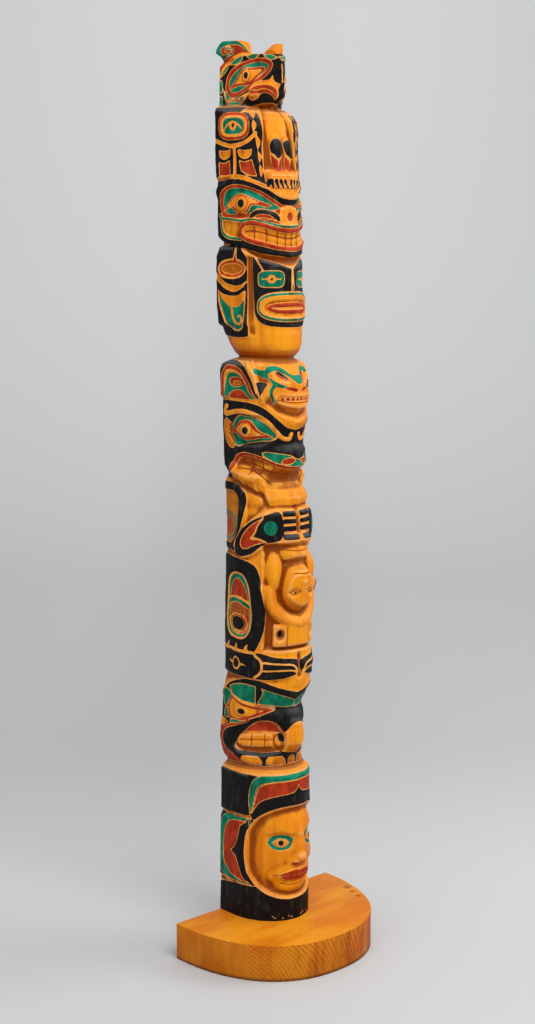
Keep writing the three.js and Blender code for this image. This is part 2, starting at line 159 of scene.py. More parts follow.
def curve(points, steps=6):
    """A smooth line through a few points."""
    spots = np.array(points, float)
    if len(spots) < 3:
        return spots
    ends = np.vstack([2 * spots[0] - spots[1], spots, 2 * spots[-1] - spots[-2]])
    t = np.linspace(0, 1, steps, endpoint=False)[:, None]
    parts = []
    for a, b, c, d in zip(ends, ends[1:], ends[2:], ends[3:]):
        parts.append(b + 0.5 * t * (c - a) + t * t * (a - 2.5 * b + 2 * c - 0.5 * d)
                     + 0.5 * t ** 3 * (3 * b - a - 3 * c + d))
    return np.vstack(parts + [spots[-1:]])


def near(line):
    """The part of the drawing within reach of a line, as a slice of rows and one of columns."""
    low, high = line.min(0) - FAR, line.max(0) + FAR
    rows = np.searchsorted(levels, (low[1], high[1]))
    keep = np.flatnonzero((np.abs(sides) >= low[0]) & (np.abs(sides) <= high[0]))
    return slice(*rows), keep


def to_line(line, u, v):
    """For each spot, how far the line is, on which side of it the spot lies, and how far along."""
    best = np.full(u.shape, float(FAR))
    hand = np.ones(u.shape)
    along = np.zeros(u.shape)
    for i, (a, b) in enumerate(zip(line, line[1:])):
        du, dv = b - a
        if du == 0 and dv == 0:
            continue
        t = np.clip(((u - a[0]) * du + (v - a[1]) * dv) / (du * du + dv * dv), 0, 1)
        distance = np.hypot(u - a[0] - t * du, v - a[1] - t * dv)
        closer = distance < best
        best[closer] = distance[closer]
        hand[closer] = np.sign((u - a[0]) * dv - (v - a[1]) * du)[closer]
        along[closer] = ((i + t) / (len(line) - 1))[closer]
    return best, hand, along


def inside(rim):
    """How far inside a closed outline each spot of the drawing lies."""
    rim = np.vstack([rim, rim[:1]])
    result = np.full(U.shape, -float(FAR))
    rows, columns = near(rim)
    u, v = U[rows, columns], V[rows, columns]
    if u.size == 0:
        return result
    within = np.zeros(u.shape, bool)
    for (u0, v0), (u1, v1) in zip(rim, rim[1:]):
        if v0 != v1:
            within ^= ((v0 > v) != (v1 > v)) & (u < (u1 - u0) * (v - v0) / (v1 - v0) + u0)
    result[rows, columns] = to_line(rim, u, v)[0] * np.where(within, 1, -1)
    return result


def shape(first, *more, across=False):
    """An outline of smooth lines. Each next line starts at the corner where the last one ended."""
    rim = curve(first)
    for line in more:
        rim = np.vstack([rim, curve([rim[-1], *line])])
    if across:
        rim = np.vstack([rim, rim[::-1] * (-1, 1)])
    return inside(rim)


def oval(at, size, fullness=2.0, turn=0.0):
    """An oval of two half sizes; a fullness above 2 squares it, and turn tilts it, in degrees."""
    angle = np.linspace(0, 2 * math.pi, 48, endpoint=False)
    across = size[0] * np.sign(np.cos(angle)) * np.abs(np.cos(angle)) ** (2 / fullness)
    up = size[1] * np.sign(np.sin(angle)) * np.abs(np.sin(angle)) ** (2 / fullness)
    tilt = math.radians(turn)
    return inside(np.column_stack([
        at[0] + across * math.cos(tilt) - up * math.sin(tilt),
        at[1] + across * math.sin(tilt) + up * math.cos(tilt)]))


def panel(low, high, corner=0.0):
    """An upright rectangle with round corners."""
    across = np.abs(U - (low[0] + high[0]) / 2) - (high[0] - low[0]) / 2 + corner
    up = np.abs(V - (low[1] + high[1]) / 2) - (high[1] - low[1]) / 2 + corner
    outside = np.hypot(np.maximum(across, 0), np.maximum(up, 0))
    return corner - outside - np.minimum(np.maximum(across, up), 0)


def stroke(points, width, tip=None):
    """A drawn line of some width; with a tip, its width runs to that at the far end."""
    line = curve(points)
    result = np.full(U.shape, -float(FAR))
    rows, columns = near(line)
    if U[rows, columns].size:
        distance, _, along = to_line(line, U[rows, columns], V[rows, columns])
        end = width if tip is None else tip
        result[rows, columns] = (width + (end - width) * along) / 2 - distance
    return result


def ring(outer, width):
    """The band of some width just inside an outline."""
    return np.minimum(outer, width - outer)


print("drawing tools ready")

# %% [markdown]
# Two kinds of marks go on the drawing. Carving changes how far a spot stands out from the log.
# Paint is kept as one number for each colour, which says how far inside that colour a spot lies.
# A colour that is laid later takes the place of what was under it. The material will show a
# colour only a little way inside its edge, so that a thin line of bare wood is left between two
# colours, as on the real pole.

# %% Carving and painting tools
BLACK = "black"
GREEN = "green"
RED = "red"
# In place of a colour, this takes the paint off
BARE = None
# The rims of the figures are drawn wide, and this share of them is kept free of other colours
RIM_SHARE = 0.45

height = np.zeros(U.shape)
coats = {name: np.full(U.shape, -float(FAR)) for name in (BLACK, GREEN, RED)}
hatching = np.full(U.shape, -float(FAR))
line_side = np.full(U.shape, float(FAR))
line_near = np.full(U.shape, float(FAR))


def smooth(low, high, x):
    """A soft step: 0 below low, 1 above high."""
    t = np.clip((x - low) / (high - low), 0, 1)
    return t * t * (3 - 2 * t)


def carve(amount):
    """Raises each spot of the surface by its own amount, in millimetres."""
    height[:] += amount


def lift(within, amount, run=3.0):
    """Raises a shape, or sinks it when the amount is negative, with a slope that is run wide."""
    carve(amount * smooth(-run / 2, run / 2, within))


def mound(at, size, amount):
    """A rounded swelling over an oval, or a bowl when the amount is negative."""
    share = np.hypot((U - at[0]) / size[0], (V - at[1]) / size[1])
    return amount * np.maximum(0, 1 - share * share)


def roll(points, radius, amount):
    """A rounded ridge along a line."""
    line = stroke(points, 2 * radius)
    return amount * np.maximum(0, 1 - (1 - line / radius) ** 2) * (line > 0)


def paint(colour, within, rim=0.0, depth=0.0):
    """Lays a colour on a shape, or bares the wood, with a bare rim and a little deeper if asked."""
    rim *= RIM_SHARE
    for name in coats:
        coats[name] = np.minimum(coats[name], -(within + rim))
    if colour:
        coats[colour] = np.maximum(coats[colour], within)
    if depth:
        lift(within + rim / 2, -depth, 2.4)


def bare_line(points, width=2.0, tip=None, depth=0.0):
    """A line of bare wood through the paint."""
    line = stroke(points, width, tip)
    paint(BARE, line)
    if depth:
        lift(line, -depth, 2.0)


def cut(points, depth=0.9, width=1.1, spread=2.2):
    """A line cut with the knife, which holds the dark of the varnish."""
    line = curve(points)
    rows, columns = near(line)
    distance, hand, _ = to_line(line, U[rows, columns], V[rows, columns])
    closer = distance < line_near[rows, columns]
    line_near[rows, columns] = np.where(closer, distance, line_near[rows, columns])
    share = distance * hand * 2 / width
    line_side[rows, columns] = np.where(closer, share, line_side[rows, columns])
    height[rows, columns] -= depth * np.maximum(0, 1 - distance / spread)


def hatch(within, colour=BARE):
    """A field with crossed cuts down to the wood."""
    paint(colour, within)
    hatching[:] = np.maximum(hatching, within)


def iris(u, v, size):
    """A round eye: a dark pupil in a bare ring, with a cut line round it."""
    whole = oval((u, v), (size, size))
    paint(BARE, whole)
    angle = np.linspace(0, 2 * math.pi, 17)
    cut(np.column_stack([u + size * np.cos(angle), v + size * np.sin(angle)]), 0.5, 0.9, 1.6)
    carve(mound((u, v), (size, size), 1))
    paint(BLACK, oval((u, v), (size * 0.55, size * 0.55)), 0, 0.4)


print("carving and painting tools ready")

# %% [markdown]
# The lowest figure is a human head in a wide collar, with a headband over it and a painted wing
# at each side. Its face is calm and plain, with the eyes half way up and a nose and mouth on the
# usual thirds. The face is first sunk as one oval, and then rises again in the middle.

# %% Human figure
def human_figure():
    paint(BLACK, panel((-30, 20), (140, 94)))
    bare_line([(60, 94), (80, 94), (100, 92), (124, 88)], 2.6, depth=1.5)
    for u, v in ((8, 51.5), (12, 53), (21, 51), (32, 52), (35, 54), (-6, 52)):
        paint(RED if u > 20 else BARE, oval((u, v), (1.1, 0.9)))
    wing = panel((56, 97), (140, 184), 6)
    lift(panel((68, 97), (140, 179), 9), 2)
    paint(BLACK, wing)
    paint(GREEN, shape([(66, 184), (95, 185), (113, 180), (119, 171)],
                       [(126, 160), (126, 114), (118, 103)], [(104, 96.5), (84, 95), (62, 93)]))
    paint(BLACK, shape([(70, 183), (80, 174), (85, 157), (89, 144), (97, 136)],
                       [(88, 129), (82, 114), (74, 102), (60, 92)], [(58, 140), (70, 183)]))
    paint(RED, shape([(72, 179.5), (92, 178), (106, 170), (112, 152), (113, 131), (110, 115), (99, 105),
                      (82, 100), (66, 95.5)], [(75, 102), (83, 114), (89, 129)], [(99, 136)],
                     [(90, 143), (85, 156), (81, 173)]), 0.6, 0.7)
    headband()
    face = oval((0, 140), (74, 63.5), 2.4)
    paint(BARE, face)
    lift(face - 3, -6.5, 7)
    lift(face - 1, 0.9, 4)
    carve(mound((0, 140), (63, 58), 10))
    human_face()


def headband():
    lift(panel((69, 187), (140, 243), 4), 2)
    paint(BLACK, panel((-30, 184), (140, 243.5)))
    bare_line([(66, 186.5), (92, 187), (124, 184)], 3, depth=1.6)
    paint(GREEN, shape([(0, 245), (25, 245), (48, 244), (59, 240), (66, 230), (68.5, 212), (67.5, 188)],
                       [(63, 205), (60, 218), (56, 228), (47, 234), (30, 237), (0, 237.5)],
                       across=True), 0, 0.3)
    paint(RED, shape([(0, 236.5), (28, 236), (45, 233), (54, 227), (58, 218), (61, 205), (65.5, 191)],
                     [(59, 202), (50, 211), (30, 217), (8, 221)], [(3, 225), (0, 231)], across=True),
          0.6, 0.5)


def human_face():
    brow = V - np.interp(U, (0, 8, 25, 40, 60), (160, 163, 168, 164, 156))
    carve(3 * smooth(-1, 5, brow) * smooth(42, 8, brow) * smooth(60, 40, U))
    carve(mound((0, 151), (9, 24), 4.5) + mound((0, 132), (12, 10), 7.5) + mound((9, 128), (6, 5), 2))
    carve(mound((25, 156), (18, 11), -4.5) + mound((25, 155), (12, 7.5), 3.8))
    carve(mound((40, 122), (20, 24), 1.5) + mound((0, 92), (28, 10), 3)
          + mound((0, 111), (34, 11), 2.5))
    socket = shape([(8, 160), (20, 165), (36, 163), (43, 155)],
                   [(36, 147), (24, 145), (13, 148), (8, 160)])
    paint(GREEN, socket, 0.4, 0.5)
    lids = shape([(13, 154.5), (20, 159.5), (28, 160), (37, 154)],
                 [(28, 149.5), (20, 149.5), (13, 154.5)])
    paint(BARE, lids)
    lift(lids, 0.8, 1.8)
    paint(BLACK, oval((25, 155), (3.9, 3.9)))
    paint(RED, oval((7, 125.5), (4.6, 3)))
    upper = shape([(0, 116), (5, 117.5), (16, 115.5), (31, 110)], [(16, 111), (0, 111.2)], across=True)
    lower = shape([(0, 110), (15, 109.8), (29, 108.8)], [(19, 104), (9, 102.3), (0, 102.2)],
                  across=True)
    paint(RED, upper)
    paint(RED, lower)
    lift(upper, 1.6, 3)
    lift(lower, 1.8, 3)
    cut([(-33, 109.3), (-15, 110.3), (0, 110.6), (15, 110.3), (33, 109.3)], 1.2)
    carve(roll([(20, 126), (36, 117), (43, 106), (38, 94)], 5, -1.6))
    cut([(-24, 98), (-10, 96), (10, 96), (24, 98)], 0.5)


human_figure()
print("human figure carved, relief from", round(height.min(), 1), "to", round(height.max(), 1), "mm")

# %% [markdown]
# Above it sits a raven. Its hooked beak turns in to the chin, and the open mouth shows a row of
# teeth under a red palate. The brow is a broad green band that is broken by a black wedge.

# %% Raven
def raven():
    lift(np.minimum(oval((52, 291), (42, 23), 2.6), U - 16), -6, 4)
    carve(mound((0, 294), (23, 24), 6) + roll([(84, 270), (106, 276), (110, 290), (96, 305)], 9, 2.5))
    carve(mound((0, 323), (42, 17), 4) + mound((82, 327), (30, 16), 3.5))
    carve(roll([(0, 349), (30, 359), (60, 367), (95, 362), (118, 346)], 8, 2))
    paint(BLACK, shape([(0, 353), (10, 356), (30, 362), (50, 368), (72, 369), (92, 365), (106, 359),
                        (116, 350), (126, 346)], [(126, 253)], [(0, 255)], across=True))
    for left, right in ((80, 46.5), (41, 11), (7.5, -7.5)):
        paint(BARE, shape([(left, 256), (left - 1, 262), (left - 5, 266.5)], [(right + 5, 266.5)],
                          [(right + 1, 262), (right, 256)]))
    paint(RED, shape([(81, 256), (88, 265), (102, 271), (110, 279), (112, 290), (118, 301), (126, 304)],
                     [(126, 250)]))
    paint(RED, shape([(68, 316), (82, 311), (98, 306), (112, 300), (126, 304)], [(112, 290)],
                     [(109, 296), (98, 302), (82, 307), (68, 312)]), 0.4)
    raven_mouth()
    raven_eye()
    raven_brow()


def raven_mouth():
    jaws = shape([(92, 282), (88, 289), (78, 297), (69, 305), (58, 312), (44, 315), (32, 313),
                  (22, 303), (16, 296)], [(13, 284), (19, 273)],
                 [(45, 270.5), (76, 272), (88, 276), (92, 282)])
    paint(BARE, jaws)
    palate = shape([(77, 297.5), (69, 304), (58, 310), (45, 312), (34, 310), (27, 304), (21, 298)],
                   [(48, 299), (77, 297.5)])
    paint(RED, palate, 0.8)
    lift(palate, -2, 3)
    teeth = shape([(88, 284), (84, 291), (72, 295), (48, 297), (35, 297)], [(34, 280)],
                  [(60, 278.5), (82, 279), (88, 284)])
    lift(teeth, 3.5, 3)
    cut([(83, 287), (60, 288), (35, 289)], 1.4)
    for tooth in (64, 45):
        cut([(tooth, 295), (tooth, 281)], 1.2)
    cut([(88, 281), (78, 277.5), (55, 276), (33, 276.5)], 0.8)
    beak = shape([(0, 314), (6, 312), (13, 305), (20, 296)],
                 [(31, 292), (31, 282), (20, 274), (0, 271.5)], across=True)
    paint(BARE, beak)
    hollow = oval((22, 291), (4.6, 6.5), 2, -25)
    paint(BLACK, hollow)
    lift(hollow, -4, 4)
    cut([(24, 296), (31, 293), (32, 284), (24, 275), (14, 272)], 1.6, 1.4)


def raven_eye():
    socket = shape([(101, 345), (88, 340), (72, 336), (50, 332), (28, 330)],
                   [(50, 322), (66, 317), (84, 312), (99, 312)], [(104, 321), (104, 334), (101, 345)])
    paint(RED, socket, 1.4)
    lift(socket - 3, -1.2, 3)
    paint(BARE, socket - 3.6)
    cut([(94, 334), (92, 324), (86, 318), (70, 319), (52, 325)], 0.8)
    carve(mound((77, 326), (9, 6), 2))
    paint(BLACK, oval((77, 326), (6, 4)))
    for corner in (shape([(117, 351), (107, 350), (101, 345), (105, 335), (108, 329)],
                         [(114, 328), (117, 334), (117, 351)]),
                   shape([(105, 325), (113, 325)], [(115, 318), (112, 312), (103, 313)],
                         [(106, 319), (105, 325)]),
                   shape([(98, 312), (98, 307.5)], [(85, 309), (73, 313)], [(86, 312.5), (98, 312)])):
        paint(GREEN, corner, 1)
    paint(BARE, shape([(126, 316), (113, 309), (103, 306)], [(114, 302), (126, 305)]))


def raven_brow():
    back_half = shape([(104, 355), (99, 346)], [(86, 342), (70, 339), (56, 337)],
                      [(58, 346), (60, 361)], [(78, 362), (92, 360), (104, 355)])
    front_half = shape([(51, 359), (32, 353), (12, 346), (0, 341)], [(0, 333)],
                       [(16, 333), (34, 335), (53, 337.5)], [(48, 352), (51, 359)])
    for half in (back_half, front_half):
        paint(GREEN, half, 0.9, 0.4)
    bare_line([(103, 346), (88, 341), (70, 337.5), (50, 334.5), (28, 332)], 1.8)
    bare_line([(126, 349), (106, 362), (92, 368.5), (72, 372), (50, 371), (30, 365), (10, 359),
               (-10, 359)], 2.4)


raven()
print("raven carved")

# %% [markdown]
# Two feet lie side by side round the front, painted black. Fine lines of bare wood part the toes,
# and a ring with two points marks the ankle. Small flames of bare wood rise from the top edge.

# %% Feet
def feet():
    sole = shape([(0, 379), (6, 378), (20, 374), (40, 371), (66, 371), (126, 373)], [(126, 406)],
                 [(60, 406), (45, 404), (30, 401), (10, 399), (3, 396), (0, 391)], across=True)
    lift(sole, 1.5, 3)
    paint(BLACK, sole)
    carve(roll([(10, 388), (50, 388)], 8, 1.5) + roll([(0, 376), (0, 402)], 5, -4))
    bare_line([(0, 374), (0, 402)], 3.4)
    bare_line([(60, 403), (52, 396), (50, 388), (53, 380), (61, 373)], 2.6, depth=0.8)
    bare_line([(48, 394), (26, 392.5), (11, 390.5), (4.5, 381)], 1.9, depth=0.7)
    bare_line([(50, 383), (30, 384), (14, 384), (5, 380.5)], 1.9, depth=0.7)
    ankle = ring(oval((91, 388), (8, 8.5)), 1.8)
    paint(BARE, ankle)
    lift(ankle, -0.7, 1.8)
    bare_line([(83.5, 388), (78, 388), (72, 388)], 3, 1)
    bare_line([(98.5, 388), (103, 389), (106, 392)], 3, 1)


feet()
print("feet carved")

# %% [markdown]
# The body above them holds a hollow, in which a small figure hangs head down, in plain wood. At
# each side of the hollow is a black panel with an egg-shaped eye form: green and red rings, a
# hatched band and a black pupil.

# %% Body
def body():
    side = shape([(126, 404), (62, 404)],
                 [(56, 414), (50, 430), (48, 450), (48, 470), (50, 490), (54, 508), (60, 518),
                  (70, 523)], [(95, 526), (126, 528)])
    lift(side, 2, 3)
    lift(np.minimum.reduce([49 - U, V - 410, 546 - V]), -8, 5)
    paint(BLACK, side)
    bare_line([(62, 406), (85, 406.5), (126, 407)], 2.2, depth=0.8)
    for flame in (73, 90, 108):
        bare_line([(flame, 407), (flame - 0.5, 411), (flame - 2.5, 415)], 6, 0.6)
    egg = shape([(88, 421), (104, 424), (111, 436), (112, 455), (110, 480), (106, 497), (98, 505),
                 (86, 507), (76, 503), (69, 490), (65, 468), (64, 446), (68, 430), (77, 422),
                 (88, 421)])
    paint(BARE, egg)
    lift(egg - 2, -1.6, 3)
    paint(GREEN, egg - 2)
    tongue = shape([(105, 474), (103, 486), (96, 496), (86, 498), (78, 491), (73, 482), (70, 471)],
                   [(80, 475), (88, 476.5), (97, 475), (105, 474)])
    paint(RED, tongue, 0.8, 0.8)
    bare_line([(109, 471), (98, 474.5), (88, 474.5), (78, 473), (67, 468)], 2.4)
    inner = shape([(88, 427), (101, 430), (106, 441), (107, 455), (107, 463)],
                  [(98, 467), (88, 468), (78, 465), (69, 461)],
                  [(69, 445), (72, 433), (79, 428), (88, 427)])
    paint(RED, inner, 1.2)
    lift(inner, -1, 2.5)
    hatch(np.minimum(inner - 0.4, V - 452), RED)
    paint(BARE, ring(oval((89, 441), (17.5, 12.5), 2.3), 1.5))
    paint(BLACK, oval((90, 440.5), (13, 9), 2.2), 0.2, 1)
    upper_panel()


def upper_panel():
    side = shape([(126, 534), (97, 533)], [(91, 543), (85, 556), (78, 576), (72, 596), (70, 608)],
                 [(80, 616), (100, 621), (126, 623)])
    lift(side, 1.5, 3)
    paint(BLACK, side)
    window = shape([(126, 611), (100, 610), (90, 606), (87, 598), (88, 575), (93, 556), (101, 546),
                    (111, 543), (126, 544)])
    lift(window, -2, 3)
    hatch(window)
    paint(GREEN, shape([(126, 585), (112, 585), (100, 582), (92, 577), (91, 570), (95, 556), (101, 549),
                        (112, 546), (126, 547)]), 0.8)
    paint(RED, shape([(126, 575), (112, 575), (103, 573), (99, 568), (101, 559), (106, 553), (116, 552),
                      (126, 553)]), 0.8, 0.6)
    paint(BARE, np.minimum.reduce([panel((38, 590), (71, 624), 6), 75 - U]))
    lift(np.minimum(panel((40, 560), (72, 624), 10), V - np.interp(U, (40, 72), (596, 568))), -2.5, 6)


def hanging_figure():
    head = np.minimum(mound((0, 490), (29, 34), 22), 14)
    upper_arm = mound((38, 509), (14, 30), 11)
    fore_arm = roll([(44, 488), (37, 466), (22, 451), (0, 443)], 12, 11)
    chest = mound((0, 540), (32, 24), 11)
    carve(np.maximum.reduce([head, upper_arm, fore_arm, chest,
                             np.clip(2.6 * panel((-12, 412), (39, 446), 5), 0, 9)]))
    hole = oval((27, 430), (5, 6.5))
    lift(hole, -9, 4)
    paint(BLACK, hole - 1.5)
    carve(mound((0, 494), (5.5, 13), 2.6) + mound((0, 500), (7.5, 4.5), 1.2))
    carve(mound((11, 486), (9, 6), -2.5) + mound((11, 486), (6.5, 3.6), 2.2))
    carve(mound((0, 507), (13, 3), 1.6) + mound((0, 512), (10, 3), 1.6))
    cut([(-12, 509.3), (0, 509.6), (12, 509.3)], 1.2)
    carve(roll([(-22, 523), (0, 526), (22, 523)], 4, -3))
    cut([(4.5, 486), (11, 489), (17.5, 486)], 0.8)
    cut([(4.5, 486), (11, 483), (17.5, 486)], 0.8)
    paint(BLACK, oval((11, 486), (2.1, 2.1)))
    cut([(-28, 540), (0, 537), (28, 540)], 0.8)
    cut([(18, 441), (18, 415)], 0.9)


body()
hanging_figure()
print("body and hanging figure carved")

# %% [markdown]
# Two hands lie on the chest. Each has a green disc on its back, a red split form towards the
# elbow, and four fingers parted by lines of bare wood.

# %% Hands
def hands():
    arm = shape([(0, 549), (28, 548), (45, 543), (62, 533), (78, 527), (91, 530)],
                [(94, 541), (86, 554), (76, 567), (60, 580), (44, 588), (28, 592), (0, 591)],
                across=True)
    lift(arm, 4, 3)
    carve(mound((36, 568), (19, 20), 2.5))
    paint(BARE, arm + 2)
    paint(BLACK, shape([(92, 539), (86, 552), (76, 565), (61, 576), (45, 583), (30, 588), (24, 586),
                        (21, 574), (20, 562), (24, 553), (30, 550), (42, 547), (53, 541), (65, 533),
                        (80, 528.5), (90, 531), (92, 539)]))
    paint(RED, shape([(46, 579.5), (60, 571), (72, 560), (79, 548), (78, 540), (70, 540), (58, 545),
                      (42, 549.5)], [(52, 553), (62, 555)], [(56, 562), (52, 571), (46, 579.5)]), 0.9,
          0.8)
    bare_line([(42, 549), (52, 552), (63, 552.5), (57, 560), (53, 570), (46, 580)], 1.8)
    paint(GREEN, oval((36.5, 567.5), (8.4, 9.4)), -1.8)
    for low, high in ((552.5, 560), (563, 570), (572.5, 579), (581.5, 589)):
        finger = panel((2.5, low), (22, high), 2.4)
        paint(BLACK, finger)
        lift(finger, 1.2, 2)
    carve(roll([(0, 550), (0, 590)], 5, -3))


hands()
print("hands carved")

# %% [markdown]
# The large head above has a wide mouth with a rolled jaw, round red lips and dark teeth. A curled
# ochre eyebrow frames a green eye field, and a black brow runs down to the snout.

# %% Large head
def large_head():
    lip = [(0, 643), (15, 643.5), (30, 647), (47, 653), (62, 657), (76, 659), (88, 655), (93, 648),
           (94, 638)]
    mouth = shape(lip[:-1], [(91, 640), (68, 635), (45, 634), (28, 627), (16, 625), (0, 627)],
                  across=True)
    lift(mouth, -6, 8)
    jaw = roll([(96, 638), (80, 634), (62, 628), (46, 620)], 12, 7)
    chin = shape([(0, 629), (20, 629), (45, 633)], [(46, 620), (36, 592)], [(0, 591)], across=True)
    block = 5 * smooth(-3, 4, chin) * smooth(632, 610, V) * smooth(586, 606, V)
    carve(np.maximum(jaw, block) + mound((0, 657), (48, 17), 5) + mound((0, 704), (36, 15), 3))
    paint(BLACK, shape([(0, 643), (30, 647), (62, 657), (76, 659), (93, 648), (93, 640)],
                       [(97, 629), (108, 626), (126, 631)], [(126, 725.5)],
                       [(104, 726), (82, 725.5), (62, 723), (45, 717), (30, 706), (15, 694), (0, 690)],
                       across=True))
    paint(RED, stroke(lip, 4), 0.5)
    carve(roll(lip, 5, 2))
    for tooth in (66, 50, 34, 20):
        cut([(tooth, 654), (tooth - 1, 634)], 1, 1.3)
    cut([(84, 648), (60, 645), (35, 636), (0, 633)], 1, 1.3)
    cut([(88, 641), (66, 639), (45, 631), (30, 621)], 1, 1.3)
    carve(roll([(98, 622), (78, 619), (60, 612), (46, 606)], 4, -2.5)
          + roll([(50, 626), (49, 616), (40, 594)], 4, -2))
    nostril = shape([(0, 653.5), (4, 654.5), (10, 658), (20, 660), (31, 661.5), (43, 662.5),
                     (49, 660.5)], [(45, 656.5), (32, 650.5), (20, 647), (8, 645), (0, 645)],
                    across=True)
    paint(GREEN, nostril, 0.8)
    lift(nostril, -1, 2)
    paint(RED, oval((13, 651.5), (9, 3.8), 2, -8), 0.8)
    large_eye()


def large_eye():
    lift(oval((67, 689), (40, 19), 2.4), -4, 5)
    carve(mound((70, 689), (26, 17), 7))
    crescent = shape([(116, 700), (111, 703), (104, 699), (103, 688), (99, 679), (91, 672)],
                     [(96, 666), (107, 668), (114, 678), (117, 690), (116, 700)])
    hatch(crescent)
    field = shape([(104, 683), (102, 693), (96, 701), (87, 706.5), (77, 707), (64, 705), (50, 700),
                   (38, 693), (29, 686), (27, 680)],
                  [(36, 677), (52, 676), (72, 672.5), (85, 669.5), (95, 673), (104, 683)])
    paint(GREEN, field, 1.8, 0.5)
    lens = shape([(104, 685), (96, 691.5), (88, 698), (78, 702), (67, 702), (59, 696), (50, 688),
                  (29, 680)], [(48, 680.5), (62, 678), (74, 677.5), (84, 682.5), (92, 685), (104, 685)])
    paint(RED, lens, 0.7)
    inner = shape([(92, 689), (85, 693), (77, 698), (68, 698), (61, 692), (54, 686.5), (44, 683.5)],
                  [(60, 683), (68, 680.5), (75, 681), (82, 686), (92, 689)])
    paint(BARE, inner)
    lift(lens, 0.8, 2)
    iris(71, 689.5, 9.4)
    brow = [(108, 718), (112, 716), (112.5, 709), (103, 709.5), (86, 713), (70, 712.5), (52, 706),
            (38, 697), (28, 688), (19, 680), (10, 679), (7, 685)]
    eyebrow = stroke(brow, 6.2, 4.6)
    paint(BARE, eyebrow)
    lift(eyebrow, 1.6, 3)
    bare_line([(126, 727), (104, 729), (82, 728.5), (62, 726), (45, 720), (28, 709), (14, 698),
               (0, 693)], 3)


large_head()
print("large head carved")

# %% [markdown]
# A small fierce face looks out between two upright ears. Its ears are painted in bands, and the
# face is bare wood with a green mask, red nostrils and a row of pointed teeth.

# %% Small face
def small_face():
    ear = shape([(126, 771), (108, 776), (88, 776), (75, 773), (67, 766), (61, 752), (55, 737),
                 (51, 728)], [(88, 730), (126, 729)])
    lift(np.minimum(panel((50, 730), (150, 777), 14), ear + 8), 4, 4)
    paint(BLACK, ear)
    red_band = shape([(114, 760), (104, 769), (88, 769.5), (76, 765), (69, 755), (61, 739), (55, 728)],
                     [(88, 729), (114, 730)], [(117, 745), (114, 760)])
    paint(RED, red_band, 0.7, 0.6)
    paint(BARE, red_band - 5)
    mask = shape([(108, 752), (101, 760), (88, 761), (79, 757), (73, 748), (66, 738), (57, 728)],
                 [(86, 729), (110, 730)], [(111, 742), (108, 752)])
    paint(GREEN, mask, 0, 0.5)
    lozenge = oval((89, 749.5), (13.5, 5.8), 2.4)
    paint(RED, lozenge, 0.8)
    carve(mound((88, 746), (27, 19), -4.5))
    lift(lozenge, -1.5, 3)
    paint(BARE, oval((89, 748.5), (8.5, 2.6), 2.4))
    mouth = shape([(104, 729), (98, 737), (86, 739.5), (75, 737), (64, 728)])
    paint(RED, mouth, 0.4, 0.6)
    diagonal = shape([(69, 778), (60, 752), (50, 724)], [(44, 724), (52, 750), (57, 778)])
    paint(BARE, diagonal)
    lift(diagonal, 2.6, 2)
    carve(mound((0, 742), (40, 36), 6.5) + mound((0, 751), (9, 20), 3.5)
          + mound((19, 757), (12, 7), -3))
    carve(mound((44, 750), (13, 20), -4.5))
    carve(mound((0, 724), (28, 14), 3) + mound((42, 737), (9, 13), 5)
          + roll([(0, 708), (24, 717), (38, 727)], 7, -4))
    small_mask()


def small_mask():
    paint(GREEN, shape([(57, 768), (47, 765), (38, 765)], [(37, 756), (39, 753)],
                       [(48, 756), (56, 761), (57, 768)]))
    paint(GREEN, shape([(0, 760), (4, 759.5), (8, 761), (15, 767), (26, 770), (39, 768.5)], [(39, 759)],
                       [(31, 762), (22, 762.5), (11, 758), (5, 750), (0, 748)], across=True))
    paint(GREEN, shape([(39, 757), (30, 752), (21, 747), (11, 745.5)],
                       [(20, 742.5), (31, 745), (36, 751), (39, 757)]))
    paint(GREEN, stroke([(31, 745), (35, 739), (34, 731), (32, 725)], 5.5, 4))
    eye = shape([(29, 763), (20, 762), (12, 756), (9, 749.5)], [(17, 752), (25, 757), (29, 763)])
    paint(RED, eye, 1)
    paint(BLACK, shape([(28, 763), (20, 762), (12, 756), (10, 751)], [(18, 756), (28, 763)]))
    lift(eye, -1.6, 2.5)
    paint(BLACK, shape([(55, 751), (46, 749.5), (39, 748)], [(44, 741), (50, 731)]))
    paint(RED, shape([(22, 742), (12, 744.5), (4, 742), (3, 737)], [(10, 739), (22, 742)]))
    lips = shape([(0, 735), (12, 736), (24, 736.5), (31, 732)], [(27, 724), (14, 719), (0, 717.5)],
                 across=True)
    lift(lips, 1.5, 2.4)
    lift(lips - 3, -1.6, 2.4)
    cut([(-27, 728), (-12, 725), (0, 724.5), (12, 725), (27, 728)], 0.9)
    for tooth in (3, 9, 15, 21):
        gap = shape([(tooth - 2.8, 727), (tooth, 733)], [(tooth + 2.8, 727)])
        paint(RED, gap + 0.2)
        lift(gap, -1.4, 1.6)


small_face()
print("small face carved")

# %% [markdown]
# Over a round belly of bare wood comes a black face with green eyes and a round mouth. The fins
# at its sides are black panels with a hatched oval above and a green split form below.

